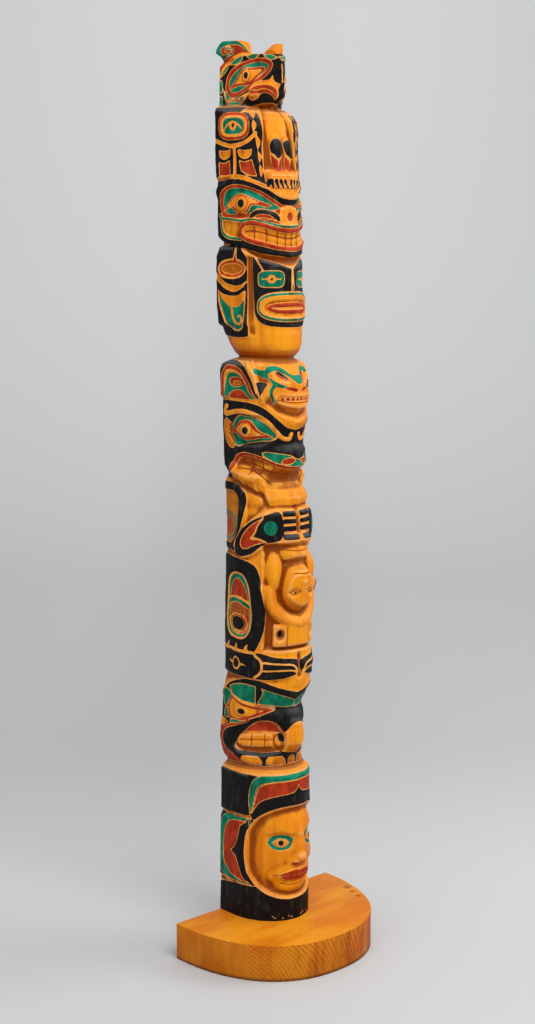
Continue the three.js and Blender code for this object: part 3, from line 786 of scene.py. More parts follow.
# %% Fin figure
def fin_figure():
    fin = shape([(126, 808), (112, 806), (84, 805), (68, 806)], [(66, 830), (65, 895), (67, 905)],
                [(74, 914), (88, 919), (126, 919)])
    lift(fin, 2, 4)
    lift(panel((57, 808), (66, 906), 4), -2.5, 4)
    paint(BLACK, fin)
    carve(mound((92, 891), (27, 14), -2.5) + mound((90, 836), (24, 27), -2.5))
    drop = oval((92, 890), (24.5, 12.5), 2.1)
    stem = stroke([(86, 900), (84.5, 906), (83, 915)], 7, 1.5)
    paint(BARE, np.maximum(drop, stem))
    paint(RED, stroke([(86, 900), (85, 905), (83.5, 911)], 5, 1))
    paint(RED, ring(drop - 2, 3.4), 0, 0.6)
    hatch(drop - 6)
    lift(drop - 6, -0.8, 2)
    upper = [(126, 890), (114, 881), (101, 872.5), (86, 869), (74, 871), (66, 876)]
    lower = [(72, 868), (86, 861.5), (100, 864.5), (114, 873), (126, 883)]
    moon = shape(upper, lower)
    paint(BARE, moon)
    lift(moon, -1.2, 3)
    split = shape([(115, 862), (112, 845), (107, 830), (100, 820), (88, 814), (77, 817), (72, 828),
                   (70, 845), (69, 862)], [(80, 856), (92, 855), (104, 857), (115, 862)])
    paint(BARE, split + 1)
    lift(split, -1.2, 3)
    paint(GREEN, split - 0.8)
    fan = shape([(115, 864), (104, 857), (92, 855.5), (80, 856.5), (69, 863)],
                [(71, 853), (78, 845), (88, 843), (98, 845), (108, 853), (115, 864)])
    paint(BARE, fan)
    lift(fan, 0.9, 3)
    bare_line([(93, 848), (92, 838), (90.5, 830), (86, 823), (79, 822), (75.5, 827), (78, 832),
               (82, 831)], 4, 1.8)
    paint(BARE, panel((56, 806), (65.5, 905), 3))
    fin_face()


def fin_face():
    edge = [(0, 891), (3, 890.5), (10, 893), (30, 898), (57, 905)]
    mask = shape(edge, [(57, 872), (55.5, 848), (54, 834), (48, 825), (38, 820), (20, 817.5), (0, 817)],
                 across=True)
    lift(mask, 1.5, 3)
    paint(BLACK, mask)
    bare_line([(-12, 896), (0, 893.5), (12, 896), (32, 901), (58, 908)], 3)
    bare_line([(53, 904), (47, 895), (41, 886)], 1.9, depth=0.6)
    bare_line([(0, 896), (0, 888), (1, 876), (1.5, 863)], 3.4, 1)
    carve(roll([(0, 866), (0, 890)], 7, 3) + mound((30, 880), (22, 12), 2))
    eye = oval((30.5, 877), (18.5, 10), 4)
    paint(GREEN, eye, 1.2)
    lift(eye, -0.8, 2)
    bare_line([(17, 877), (30, 877), (44, 877)], 1.3)
    paint(BARE, oval((30.5, 877), (6.6, 5), 1.6))
    paint(BLACK, oval((30.5, 877), (2.2, 2.2)))
    mouth = oval((0, 843), (50, 18), 2.7)
    lift(mouth, 2.8, 3)
    paint(BARE, mouth + 1)
    paint(GREEN, ring(mouth, 3.4))
    hollow = oval((0, 842), (40, 10), 2.6)
    lift(hollow, -3, 4)
    lips = oval((0, 841.5), (37, 7.2), 2.4)
    paint(RED, lips)
    lift(lips, 3, 3.5)
    slit = oval((0, 841.5), (31, 1.7), 2)
    paint(BARE, slit)
    lift(slit, -1.5, 2)


fin_figure()
print("fin figure carved")

# %% [markdown]
# The wolf bares its teeth over a deep undercut. Thick red lips run round both rows of teeth, the
# snout is bare at the tip, and the eye lies in a green socket with a red rim.

# %% Wolf
def wolf():
    jaw = [(0, 903), (30, 906), (60, 912), (96, 920), (112, 924), (126, 932)]
    neck = [(100, 917), (72, 915), (56, 906), (30, 898), (0, 893)]
    under = shape(jaw, [(126, 918)], neck, across=True)
    lift(under, -7, 5)
    brow = [(95, 1000), (76, 999), (60, 996), (45, 991), (30, 985), (15, 976), (0, 974)]
    paint(BLACK, shape(jaw, [(126, 1000)], brow, across=True))
    lift(panel((-20, 904), (76, 945), 15), 2.5, 4)
    frame_line = shape([(0, 966), (14, 968.5), (26, 975), (40, 982.5), (55, 988), (70, 991.5),
                        (86, 992), (101, 988), (111, 980), (113.5, 969), (110, 957)],
                       [(104, 952), (90, 950.5), (60, 950)], [(30, 944), (0, 940)], across=True)
    paint(RED, frame_line, 0.2)
    paint(GREEN, shape([(14, 963), (27, 970.5), (41, 978.5), (56, 984.5), (70, 987.5), (86, 988),
                        (98, 985), (106, 978.5), (108.5, 968), (103.5, 960)],
                       [(98, 957.5), (88, 957), (62, 957), (48, 963), (30, 961), (14, 963)]), 0.5)
    bare_line([(104, 952.2), (88, 951.5), (62, 951.5)], 1)
    carve(roll([(0, 972), (20, 979), (50, 990), (85, 994), (118, 984)], 8, 3))
    lift(oval((68, 970), (44, 18), 2.4), -2, 5)
    carve(mound((71, 969), (22, 15), 5))
    wolf_eye()
    wolf_snout()
    wolf_mouth()


def wolf_eye():
    lens = shape([(108, 960), (97, 971), (86, 978), (74, 981), (62, 978), (50, 973.5), (38, 970),
                  (26, 966)], [(38, 965.5), (50, 967.5), (58, 966), (62, 960), (71, 957), (80, 957.5),
                               (87, 963), (95, 965), (108, 960)])
    paint(RED, lens, 0.6, -0.6)
    paint(BARE, shape([(101, 965.5), (92, 972), (82, 977), (72, 978), (62, 975.5), (54, 972.5),
                       (46, 970)], [(53, 969.8), (60, 968), (64, 962), (71, 959), (79, 960), (85, 966),
                                    (101, 965.5)]))
    iris(72.5, 969.3, 9.6)


def wolf_snout():
    nostril = shape([(62, 950), (57, 958), (46, 962), (30, 961), (19, 956), (15, 947)],
                    [(24, 949), (36, 951), (50, 951.5), (62, 950)])
    paint(BLACK, nostril, 1.2)
    paint(RED, shape([(56, 951.5), (46, 956), (33, 955.5), (22, 950)], [(36, 952), (56, 951.5)]))
    carve(roll([(22, 951), (34, 956), (46, 956), (56, 951)], 8, 3))
    tip = shape([(0, 966), (8, 965), (15.5, 962), (16, 942)], [(0, 941)], across=True)
    paint(BARE, tip)
    lift(tip, 3.5, 4)
    dot = oval((0, 953), (5.6, 6))
    paint(RED, dot)
    lift(dot, -1, 2)
    paint(GREEN, stroke([(-12, 939.5), (12, 940.5), (30, 944), (55, 948.3), (80, 948.5), (104, 950.5),
                         (114, 955)], 5), 0.4)


def wolf_mouth():
    cheek = shape([(110, 950), (90, 949), (74, 947)], [(78, 936), (74, 927)],
                  [(96, 930), (108, 938), (110, 950)])
    paint(GREEN, cheek + 3.4, 0.4)
    paint(BARE, cheek)
    lift(cheek, -2.4, 4)
    lips = shape([(0, 938), (20, 940), (40, 944.5), (55, 947), (69, 946), (76, 940), (76, 933),
                  (70, 926), (55, 921), (38, 917.5), (20, 913.5), (0, 912)], across=True)
    paint(RED, lips + 0.8, 0.4)
    lift(ring(lips, 4), 1, 2)
    teeth = lips - 4.6
    paint(BARE, teeth)
    lift(teeth, -2.4, 3)
    for tooth, top, foot in ((54, 942, 926), (37, 940, 922), (20, 936, 918), (6, 934, 917)):
        cut([(tooth, top), (tooth - 0.5, foot)], 1)
    cut([(-52, 935), (-20, 929), (0, 927), (20, 929), (52, 935), (66, 935)], 1.1, 1.6)


wolf()
print("wolf carved")

# %% [markdown]
# The bird on top folds its wings round its sides. Each wing has a ringed eye at the shoulder, two
# rows of smaller forms below it and scallops down its front edge. Its legs stand on a small shelf.

# %% Bird body
def bird_body():
    # The right wing starts up to 13 mm nearer the middle than the left one
    nearer = np.interp(V, (1000, 1030, 1087), (0, 8, 13)) * smooth(0, 4, girth)
    nearer = nearer * smooth(2, 20, U) * smooth(72, 42, U)
    U[:] += nearer
    front_edge = [(33, 990), (36, 1001), (38, 1019), (38.5, 1030), (38, 1041), (36.5, 1051),
                  (37.5, 1062), (41, 1075), (48, 1087)]
    wing = shape(front_edge, [(126, 1087)], [(126, 1000)],
                 [(95, 1001), (70, 1000), (50, 994), (33, 990)])
    lift(wing, 2, 3)
    paint(BLACK, wing)
    chest = smooth(0, 6, np.minimum.reduce([38 - U, V - 1008, 1093 - V]))
    carve(-chest * (4 + 2.5 * smooth(20, 34, U)))
    carve(-3 * smooth(1056, 1087, V) * smooth(66, 50, U) * (V < 1088))
    eye = oval((84.5, 1063), (26.5, 17), 2.9)
    paint(BARE, eye, -0.6)
    paint(RED, ring(eye, 3.8))
    field = oval((84.5, 1063), (18.5, 10.3), 3)
    paint(GREEN, field, 0, 0.7)
    lift(ring(eye - 3.4, 5), 0.8, 2.4)
    bare_line([(89, 1067), (95, 1064), (101, 1058)], 2.6, 1)
    bare_line([(80, 1067), (74, 1063.5), (69, 1058.5)], 2.6, 1)
    paint(BARE, oval((84.5, 1063.5), (5.8, 6)))
    paint(BLACK, oval((84.5, 1064), (2.9, 3.2)))
    wing_feathers()
    U[:] -= nearer
    bird_legs()


def wing_feathers():
    bare_line([(126, 1048), (112, 1044.5), (99, 1041), (85, 1039), (71, 1041), (58, 1046.5),
               (48, 1054)], 4.4, depth=0.8)
    bare_line([(82, 1040), (81.5, 1020), (81.5, 1001)], 4.2, depth=0.6)
    bare_line([(126, 998.5), (92, 1001.5), (70, 1001.5), (50, 995), (34, 989)], 4.4, depth=0.6)
    for middle, foot, half in ((100, 1023, 11.5), (65.5, 1023, 11)):
        moon = shape([(middle - half, foot + 12), (middle, foot + 10.5), (middle + half, foot + 12)],
                     [(middle + half - 2, foot + 4), (middle, foot), (middle - half + 2, foot + 4),
                      (middle - half, foot + 12)])
        paint(BARE, moon)
        lift(moon, -1.4, 3)
    for block in (shape([(111, 1020), (100, 1018), (91, 1021)], [(91, 1005), (110, 1004)]),
                  shape([(74, 1021), (66, 1019), (55, 1021.5)], [(52, 1012), (48, 1002.5)],
                        [(60, 1004), (71, 1009)])):
        paint(RED, block, 1.3, 0.7)
    for top, swell, foot, back in (((63, 1089), (47.5, 1080), (51, 1072), (56, 1078)),
                                   ((51.5, 1071), (46.8, 1064), (51.5, 1055), (53.5, 1063)),
                                   ((48.5, 1053.5), (41, 1044), (45, 1034), (47.5, 1044)),
                                   ((45, 1033), (40, 1026), (43, 1018), (45, 1026)),
                                   ((43, 1017), (38.5, 1009), (41, 1000), (43.5, 1008))):
        scallop = shape([top, swell, foot], [back, top])
        paint(BARE, scallop)
        lift(scallop, -0.8, 2)


def bird_legs():
    carve(mound((13, 1031), (13, 24), 6))
    bare_line([(-1, 1090), (0, 1050), (0, 1004)], 4)
    thigh = shape([(2.5, 1045), (12, 1048.5), (21, 1046), (24.5, 1037), (21, 1028), (14, 1023.5),
                   (6, 1028), (2.5, 1036), (2.5, 1045)])
    paint(BLACK, thigh)
    lift(thigh, 0.8, 2.4)
    shin = shape([(3, 1031), (8, 1026), (14, 1022.5)], [(19, 1025), (24, 1032)],
                 [(22, 1018), (18, 1010), (11, 1008), (5, 1010.5), (3, 1020), (3, 1031)])
    paint(RED, shin, 0.7, 0.4)
    bare_line([(3, 1029), (12, 1022), (21, 1029)], 1.8)
    bare_line([(12, 1022), (12, 1015)], 2, 1)
    lift(panel((-10, 988), (28, 1006), 4), 4, 4)
    carve(mound((0, 982), (28, 11), 5))
    for claw in (4, 11, 18, 25):
        talon = stroke([(claw + 1.5, 997), (claw, 992), (claw - 1.5, 987.5)], 5.8, 3)
        paint(BLACK, talon)
        lift(talon, 1.3, 2)
    toe_edge = shape([(29, 1001), (33, 996), (34, 990), (29, 987)], [(28, 994), (29, 1001)])
    paint(BLACK, toe_edge)
    paint(BARE, shape([(0, 975), (10, 976.5), (20, 981), (28, 986)], [(20, 986.5), (0, 986.5)],
                      across=True))


bird_body()
print("bird body carved")

# %% [markdown]
# Its head has a hooked black beak, red lips turned down at the middle, and a long green eye. A
# band of green feathers crowns it, and the two back corners of the log are left standing as ears,
# each with a painted curl.

# %% Bird head
def bird_head():
    throat = np.minimum.reduce([62 - U, V - 1084, 1093 - V])
    lift(throat, -3, 8)
    paint(BLACK, panel((-30, 1088.5), (140, 1180)))
    carve(mound((76, 1120), (40, 26), 3)
          + roll([(20, 1146), (50, 1147), (80, 1143), (112, 1130)], 7, 2))
    paint(BARE, shape([(0, 1090.5), (14, 1092), (30, 1092), (44, 1090), (56, 1086.5), (66, 1083)],
                      [(66, 1080), (0, 1080)], across=True))
    eye = shape([(108, 1111), (106, 1119), (103, 1125), (95, 1132), (81, 1138.5), (65, 1142.5),
                 (48, 1145), (34, 1145), (26, 1143), (19.5, 1139)],
                [(23, 1133.5), (31, 1126), (40, 1120), (53, 1114), (66, 1107.5), (78, 1103), (90, 1099),
                 (99, 1099.5), (105, 1103.5), (108, 1111)])
    paint(RED, eye, 0.5)
    lift(eye - 3, -1.2, 3)
    paint(GREEN, shape([(101, 1111), (99.5, 1120), (91, 1128), (78, 1134.5), (62, 1139), (45, 1141),
                        (33, 1139.5), (28, 1137)],
                       [(34, 1130), (44, 1123.5), (60, 1115.5), (72, 1110), (84, 1105.5), (94, 1105),
                        (100, 1108), (101, 1111)]), 0.7)
    lens = shape([(100, 1109), (91, 1116.5), (84, 1124), (78, 1130), (69, 1133.5), (57, 1133),
                  (46, 1134), (36, 1134.5)],
                 [(38, 1130), (47, 1124.5), (54, 1119), (62, 1115), (73, 1113.5), (83, 1113.5),
                  (100, 1109)])
    paint(RED, lens + 0.6, 0.5, -0.6)
    paint(BARE, lens - 2.4)
    carve(mound((69, 1124.5), (16, 11), 2.5))
    iris(69, 1124.5, 8)
    cheek = shape([(113, 1111), (109, 1098), (103, 1090.5), (90, 1087.5), (79, 1088), (70, 1094),
                   (63, 1105)], [(78, 1100), (90, 1096), (100, 1097), (107, 1102), (113, 1111)])
    paint(BARE, cheek)
    lift(cheek, 1.6, 3)
    paint(GREEN, shape([(107, 1106), (105, 1097), (98, 1092), (88, 1090.5), (79, 1092), (73, 1099)],
                       [(84, 1097), (97, 1096.5), (107, 1106)]) + 1.2, 0.3)
    bare_line([(101, 1095.5), (90, 1094.5), (79, 1095.5)], 3)
    beak()
    crown_feathers()
    ears()


def beak():
    patch = shape([(62, 1110), (50, 1116.5), (38, 1118.5), (26, 1120)], [(20.5, 1125.5)],
                  [(18, 1119), (12, 1116), (4, 1114)], [(8, 1108), (6, 1100), (8, 1094)],
                  [(14, 1097), (22, 1101.5), (32, 1104), (44, 1102), (61, 1102), (62, 1110)])
    paint(BARE, patch)
    outer_lip = shape([(61, 1104), (58, 1108.5), (50, 1112), (35, 1113.5), (20, 1112), (12, 1108),
                       (8.5, 1101), (8, 1094)],
                      [(14, 1097), (22, 1101.5), (32, 1104), (40, 1103), (50, 1102.5), (57, 1101),
                       (61, 1104)])
    paint(RED, outer_lip)
    carve(roll([(9, 1101), (26, 1110), (56, 1106)], 8, 4))
    bare_line([(57, 1106.5), (48, 1106), (37, 1108.3), (26, 1107), (16, 1103), (9, 1096)], 1.6)
    cut([(57, 1105.8), (48, 1105), (37, 1107.3), (26, 1106), (16, 1102), (9, 1095)], 1)
    jaw = shape([(64, 1103.5), (55, 1102), (43, 1101)],
                [(46, 1097), (54, 1095), (62, 1097.5), (64, 1103.5)])
    paint(BARE, jaw)
    lift(jaw, 1.4, 3)
    nostril = oval((13, 1124), (7, 7.5), 2.2)
    lift(nostril, -1.4, 3)
    carve(roll([(0, 1098), (0, 1138)], 6, 1.5))
    bare_line([(3, 1137), (2.5, 1126), (1, 1116)], 2.4, 1.4)


def crown_feathers():
    for foot, belly, tip, back in (((117, 1123), (107, 1129), (101, 1137), (109, 1134)),
                                   ((99, 1137.5), (84, 1139), (70, 1148.5), (87, 1145)),
                                   ((66, 1147), (54, 1144.5), (38, 1150.5), (52, 1150.5)),
                                   ((34, 1149), (24, 1143.5), (7, 1146), (20, 1149.5)),
                                   ((6, 1147), (3, 1143), (0, 1142), (0, 1147))):
        feather = shape([foot, belly, tip], [back, foot])
        paint(GREEN, feather, 0.7)
    for low, high in ((1105, 1119), (1089, 1101)):
        paint(GREEN, panel((114, low), (130, high), 2), 0.7)


def ears():
    paint(BARE, shape([(126, 1117), (117, 1124), (109, 1134), (101, 1138.5), (87, 1145), (73, 1149.5),
                       (54, 1151)], [(54, 1180)], [(130, 1180)]))
    paint(GREEN, shape([(53, 1152), (57, 1159), (66, 1164), (80, 1166), (130, 1180)], [(124, 1142)],
                       [(107, 1146), (90, 1150), (53, 1152)]))
    red_curl = shape([(126, 1118), (117, 1128), (109, 1136.5), (100, 1142), (87, 1147.5), (72, 1151),
                      (56, 1151)], [(66, 1158), (76, 1161), (96, 1160.5), (107, 1158), (110, 1155),
                                    (108, 1151), (100, 1147.5), (110, 1141), (126, 1131)])
    paint(RED, red_curl, 0.4, 0.6)
    paint(GREEN, stroke([(118, 1149), (108, 1148), (98, 1149.5), (90, 1151.5), (89, 1155), (95, 1157.5),
                         (101, 1156.5), (102, 1153.5)], 3, 2.4), 0.3)
    bare_line([(121, 1121), (112, 1132), (101, 1140), (87, 1146), (73, 1150), (60, 1151)], 3, 4.2)
    carve(roll([(60, 1156), (90, 1159), (112, 1156)], 10, 1.5))
    lift(shape([(103, 1147), (113, 1142), (128, 1135)], [(128, 1149)], [(112, 1148), (103, 1147)])
         + 1.5, -8, 5)
    lift(np.minimum(V - 1149, girth - 40), -4, 3)
    paint(BARE, np.minimum(panel((40, 1151), (92, 1180)), girth))


bird_head()
print("bird head carved, relief from", round(height.min(), 1), "to", round(height.max(), 1), "mm")

# %% [markdown]
# The knife leaves soft facets in bare wood, so a slight random waviness goes over everything.
# Then come three numbers that the wood material needs. One says how hollow a spot is, because
# varnish pools there and darkens, and the material also lays a painted shade there. One says how
# much it stands proud, because the wood is worn pale there, and the material also lays a painted
# highlight there. Both come from the carved surface and a blurred copy of it. The third says how
# much the surface leans, for a painted light where it faces up and a painted shade where it faces
# down.

# %% Tool marks, hollows and ridges
FACETS = 0.28
FINE_MARKS = 0.14
height += FACETS * ripple(3, 3.6, 6.5, 16) + FINE_MARKS * ripple(4, 1.6, 2.6, 16)


def blurred(values, across, up):
    """The values with each one averaged with its neighbours, a soft reach of spots each way."""
    result = values
    for axis, reach in ((1, across), (0, up)):
        steps = np.arange(-3 * reach, 3 * reach + 1)
        weights = np.exp(-0.5 * (steps / reach) ** 2)
        weights /= weights.sum()
        padding = [(0, 0), (0, 0)]
        padding[axis] = (3 * reach, 3 * reach)
        padded = np.pad(result, padding, mode="edge")
        count = result.shape[axis]
        result = sum(weight * np.take(padded, range(i, i + count), axis=axis)
                     for i, weight in enumerate(weights))
    return result


columns_at = np.abs(sides) / HALF_GIRTH
places = np.zeros(U.shape + (2,))
outward = np.zeros(U.shape + (2,))
# The surface's direction is taken between two spots, this share of the girth to either side
PROBE = 0.02
for row, row_level in enumerate(levels):
    x, y = section(row_level)
    length = np.append(0, np.cumsum(np.hypot(np.diff(x), np.diff(y))))
    length /= length[-1]
    places[row, :, 0] = np.interp(columns_at, length, x)
    places[row, :, 1] = np.interp(columns_at, length, y)
    ahead, behind = np.clip(columns_at + PROBE, 0, 1), np.clip(columns_at - PROBE, 0, 1)
    run_x = np.interp(ahead, length, x) - np.interp(behind, length, x)
    run_y = np.interp(ahead, length, y) - np.interp(behind, length, y)
    outward[row] = np.column_stack([run_y, -run_x]) / np.hypot(run_x, run_y)[:, None]
carved = places + outward * height[:, :, None]
stand = np.hypot(carved[:, :, 0], carved[:, :, 1] - BACK)
# A narrow blur finds the fine hollows, and a share of a wide one the broad ones
BROAD_SHARE = 0.35
hollow = (blurred(stand, 3, 3) - stand) + BROAD_SHARE * (blurred(stand, 9, 9) - stand)
ridge = stand - blurred(stand, 1, 1)
ROW_STEP = (TOP_LEVEL - FOOT_LEVEL) / ROWS
# Plus where the surface faces up, minus where it faces down
tilt = -np.gradient(blurred(stand, 1, 1), ROW_STEP, axis=0)
print("hollows from", round(hollow.min(), 1), "to", round(hollow.max(), 1), "mm")

# %% [markdown]
# Now the paper is wrapped. A flat grid is added, with a column of vertices for each column of the
# drawing and a few more for the back. Its rows are bent round the log, its last rows are drawn in
# over the top, and the seam behind is welded. That leaves one hole, at the foot, which a face
# closes. A flat grid keeps its own map of the drawing, so nothing has to be unwrapped.

# %% Wrap the carving round the log
pole_low, pole_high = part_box("carved_pole")
POLE_MIDDLE = (pole_low.x + pole_high.x) / 2
POLE_BACK = pole_high.y
# Metres in one level
UP = (pole_high.z - pole_low.z) / (TOP_LEVEL - FOOT_LEVEL)
# Level of the ears' foot, the two sides of the gap between them, and where their fronts begin
EAR_FOOT = 1150
EAR_GAP = (-24, 21)
EAR_FRONT = 3
# How far the crown of each ear stands over the top level, and how much its edge is rounded
LEFT_OVER = 1.2
RIGHT_OVER = 5.2
EDGE_ROUND = 1.5
# The crown stays this far over the ears' foot, or the cut below would have nothing to cut from
LEAST_EAR = 3
# The faces over the top meet at a spot that is this share of the way from the axis to the back
CAP_BACK = 0.6


def crown_level(x, y):
    """How high the wood stands at the very top: each ear is rounded down towards its edges."""
    right = smooth(-15, 15, x)
    at_gap = 1 - np.clip(np.maximum(EAR_GAP[0] - x, (x - EAR_GAP[1]) / 2) / 8, 0, 1)
    at_front = 1 - np.clip((y - EAR_FRONT - 4 * right) / 9, 0, 1)
    at_back = 1 - np.clip((BACK - y) / 10, 0, 1)
    at_side = right * np.clip((x - 33) / 16, 0, 1) ** 2
    fall = at_gap ** 2 * (2 + 9 * right) + at_front ** 2 * 9 + at_back ** 2 * 8 + 9 * at_side
    crown = TOP_LEVEL + LEFT_OVER + (RIGHT_OVER - LEFT_OVER) * right
    return np.maximum(crown - fall, EAR_FOOT + LEAST_EAR)


def wrapped():
    """Where each vertex of the grid goes, in millimetres, as rows of columns."""
    x = carved[:, :, 0] * np.where(sides < 0, -1, 1)
    x[:, sides == 0] = 0
    y = np.minimum(carved[:, :, 1], BACK)
    shares = np.arange(1, BACK_COLUMNS // 2 + 1) / (BACK_COLUMNS // 2)
    left = [values[:, :1] * (1 - shares) + end * shares for values, end in ((x, 0), (y, BACK))]
    right = [values[:, -1:] * (1 - shares) + end * shares for values, end in ((x, 0), (y, BACK))]
    x = np.hstack([left[0][:, ::-1], x, right[0]])
    y = np.hstack([left[1][:, ::-1], y, right[1]])
    z = np.repeat(levels[:, None], x.shape[1], axis=1)
    share = np.clip((z - EAR_FOOT) / (TOP_LEVEL - EAR_FOOT), 0, 1)
    z = np.where(z > EAR_FOOT, EAR_FOOT + share * (crown_level(x, y) - EDGE_ROUND - EAR_FOOT), z)
    for step in range(1, CAP_ROWS + 1):
        inward = step / CAP_ROWS
        cap_x = x[ROWS] * (1 - inward)
        cap_y = y[ROWS] * (1 - inward) + BACK * CAP_BACK * inward
        round_off = EDGE_ROUND * (1 - min(1, 3 * inward)) ** 2
        x, y = np.vstack([x, cap_x]), np.vstack([y, cap_y])
        z = np.vstack([z, crown_level(cap_x, cap_y) - round_off])
    return x, y, z


x, y, z = wrapped()
rows, columns = x.shape
bpy.ops.mesh.primitive_grid_add(x_subdivisions=columns - 1, y_subdivisions=rows - 1, size=2)
pole = bpy.context.object
pole.name = "painted_pole"
spots = np.empty(rows * columns * 3)
pole.data.vertices.foreach_get("co", spots)
spots = spots.reshape(-1, 3)
column_of = np.rint((spots[:, 0] + 1) / 2 * (columns - 1)).astype(int)
row_of = np.rint((spots[:, 1] + 1) / 2 * (rows - 1)).astype(int)
spots[:, 0] = POLE_MIDDLE + x[row_of, column_of] * MM
spots[:, 1] = POLE_BACK - (BACK - y[row_of, column_of]) * MM
spots[:, 2] = pole_low.z + (z[row_of, column_of] - FOOT_LEVEL) * UP
pole.data.vertices.foreach_set("co", spots.ravel())


def keep_on(mesh, name, values, beyond):
    """Writes a value of the drawing to the mesh's corners, with one value for the back and top."""
    wide = np.full((rows, columns), float(beyond), np.float32)
    wide[:ROWS + 1, BACK_COLUMNS // 2:BACK_COLUMNS // 2 + SIDE_COLUMNS + 1] = values
    vertex_of = np.empty(len(mesh.loops), np.int32)
    mesh.loops.foreach_get("vertex_index", vertex_of)
    attribute = mesh.attributes.new(name, "FLOAT", "CORNER")
    attribute.data.foreach_set("value", wide[row_of, column_of][vertex_of])


# What the mesh keeps of the drawing: a name, the value of each spot, and that of back and top
kept = {"paint_" + coat: (values, -FAR) for coat, values in coats.items()}
kept |= {"hatching": (hatching, -FAR), "line_side": (line_side, FAR), "line_near": (line_near, FAR)}
on_carving = list(kept)
kept |= {"hollow": (hollow, 0), "ridge": (ridge, 0), "tilt": (tilt, 0),
         "girth": (girth, HALF_GIRTH), "level": (level, FOOT_LEVEL)}
for name, (values, beyond) in kept.items():
    keep_on(pole.data, name, values, beyond)

bpy.ops.object.mode_set(mode="EDIT")
bpy.ops.mesh.select_mode(type="VERT")
bpy.ops.mesh.select_all(action="SELECT")
bpy.ops.mesh.remove_doubles(threshold=1e-5)
bpy.ops.mesh.select_all(action="DESELECT")
bpy.ops.mesh.select_non_manifold()
bpy.ops.mesh.edge_face_add()
bpy.ops.object.mode_set(mode="OBJECT")
print("wrapped log:", len(pole.data.vertices), "vertices,", len(pole.data.polygons), "faces")

# %% [markdown]
# The head is lower than the ears, so what stands over it is cut away: everything in front of the
# ears, and the gap between them. Two boxes are joined into one cutter with its edges bevelled,
# which leaves small fillets like those of a gouge, and a Boolean modifier takes it away.

# %% Cut the head free between the ears
CUT_RADIUS = 3.5 * MM


def cutter_box(low, high):
    """A box between two corners."""
    middle = [(a + b) / 2 for a, b in zip(low, high)]
    bpy.ops.mesh.primitive_cube_add(size=1, location=middle, scale=[b - a for a, b in zip(low, high)])
    bpy.ops.object.transform_apply(location=True, rotation=True, scale=True)
    return bpy.context.object


def boolean(target, tool, operation):
    """Applies one boolean to the target and removes the tool."""
    modifier = target.modifiers.new("cut", "BOOLEAN")
    modifier.operation = operation
    modifier.object = tool
    modifier.solver = "EXACT"
    bpy.ops.object.select_all(action="DESELECT")
    bpy.context.view_layer.objects.active = target
    target.select_set(True)
    bpy.ops.object.modifier_apply(modifier=modifier.name)
    bpy.data.objects.remove(tool)


bpy.ops.object.select_all(action="DESELECT")
floor_z = pole_low.z + (EAR_FOOT - FOOT_LEVEL) * UP
reach = 90 * MM
front_y = POLE_BACK - (BACK - EAR_FRONT) * MM
cutter = cutter_box((POLE_MIDDLE - reach, front_y - reach, floor_z),
                    (POLE_MIDDLE + reach, front_y, floor_z + reach))
between = cutter_box((POLE_MIDDLE + EAR_GAP[0] * MM, front_y - reach / 2, floor_z),
                     (POLE_MIDDLE + EAR_GAP[1] * MM, POLE_BACK + reach, floor_z + reach))
boolean(cutter, between, "UNION")
ease = cutter.modifiers.new("ease", "BEVEL")
ease.width = CUT_RADIUS
ease.segments = 3
bpy.ops.object.modifier_apply(modifier=ease.name)
# The faces that the cut leaves are bare wood, and the cutter's own values say so
for name in on_carving:
    layer = cutter.data.attributes.new(name, "FLOAT", "CORNER")
    layer.data.foreach_set("value", np.full(len(cutter.data.loops), kept[name][1], np.float32))
boolean(pole, cutter, "DIFFERENCE")
bpy.ops.object.shade_smooth_by_angle(angle=math.radians(50))
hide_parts("carved_pole")
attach(pole, "root")
print("carved pole:", len(pole.data.vertices), "vertices,", len(pole.data.polygons), "faces")

# %% [markdown]
# The base is a thick half-round board. Its outline is a full oval in front and straight behind.
# A flat disc is added, its rim is moved to that outline, and the face is pulled up to the
# board's thickness. A bevel of one millimetre takes the sharpness off the edges.

# %% Base board
base_low, base_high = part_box("base")
BASE_FULLNESS = 2.3
BASE_EDGE = 1.0 * MM
RIM_STEPS = 128

bpy.ops.object.select_all(action="DESELECT")
bpy.ops.mesh.primitive_circle_add(vertices=RIM_STEPS, radius=1, fill_type="NGON")
board = bpy.context.object
board.name = "half_round_board"
half_width = (base_high.x - base_low.x) / 2
depth = base_high.y - base_low.y
for i, vertex in enumerate(sorted(board.data.vertices, key=lambda v: math.atan2(v.co.y, v.co.x))):
    angle = math.pi * i / (RIM_STEPS - 1)
    across = math.copysign(abs(math.cos(angle)) ** (2 / BASE_FULLNESS), math.cos(angle))
    forward = math.sin(angle) ** (2 / BASE_FULLNESS)
    vertex.co = (half_width * -across, base_high.y - depth * forward, base_low.z)
bpy.ops.object.mode_set(mode="EDIT")
bpy.ops.mesh.select_all(action="SELECT")
bpy.ops.mesh.extrude_region_move(TRANSFORM_OT_translate={"value": (0, 0, base_high.z - base_low.z)})
bpy.ops.mesh.select_all(action="SELECT")
bpy.ops.mesh.normals_make_consistent(inside=False)
bpy.ops.object.mode_set(mode="OBJECT")
soften = board.modifiers.new("soften", "BEVEL")
soften.width = BASE_EDGE
soften.segments = 2
soften.limit_method = "ANGLE"
soften.angle_limit = math.radians(40)
bpy.ops.object.modifier_apply(modifier=soften.name)
bpy.ops.object.shade_smooth_by_angle(angle=math.radians(35))
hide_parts("base")
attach(board, "root")
print("board:", round(half_width * 2 / MM), "by", round(depth / MM), "mm,", len(board.data.polygons),
      "faces")

# %% [markdown]
# A material is a small network of nodes that feeds one shader. A few short helpers make the nodes
# here, so that each finish reads like a recipe: a value or a picture of noise goes in, and a
# colour, a roughness or a bump comes out.

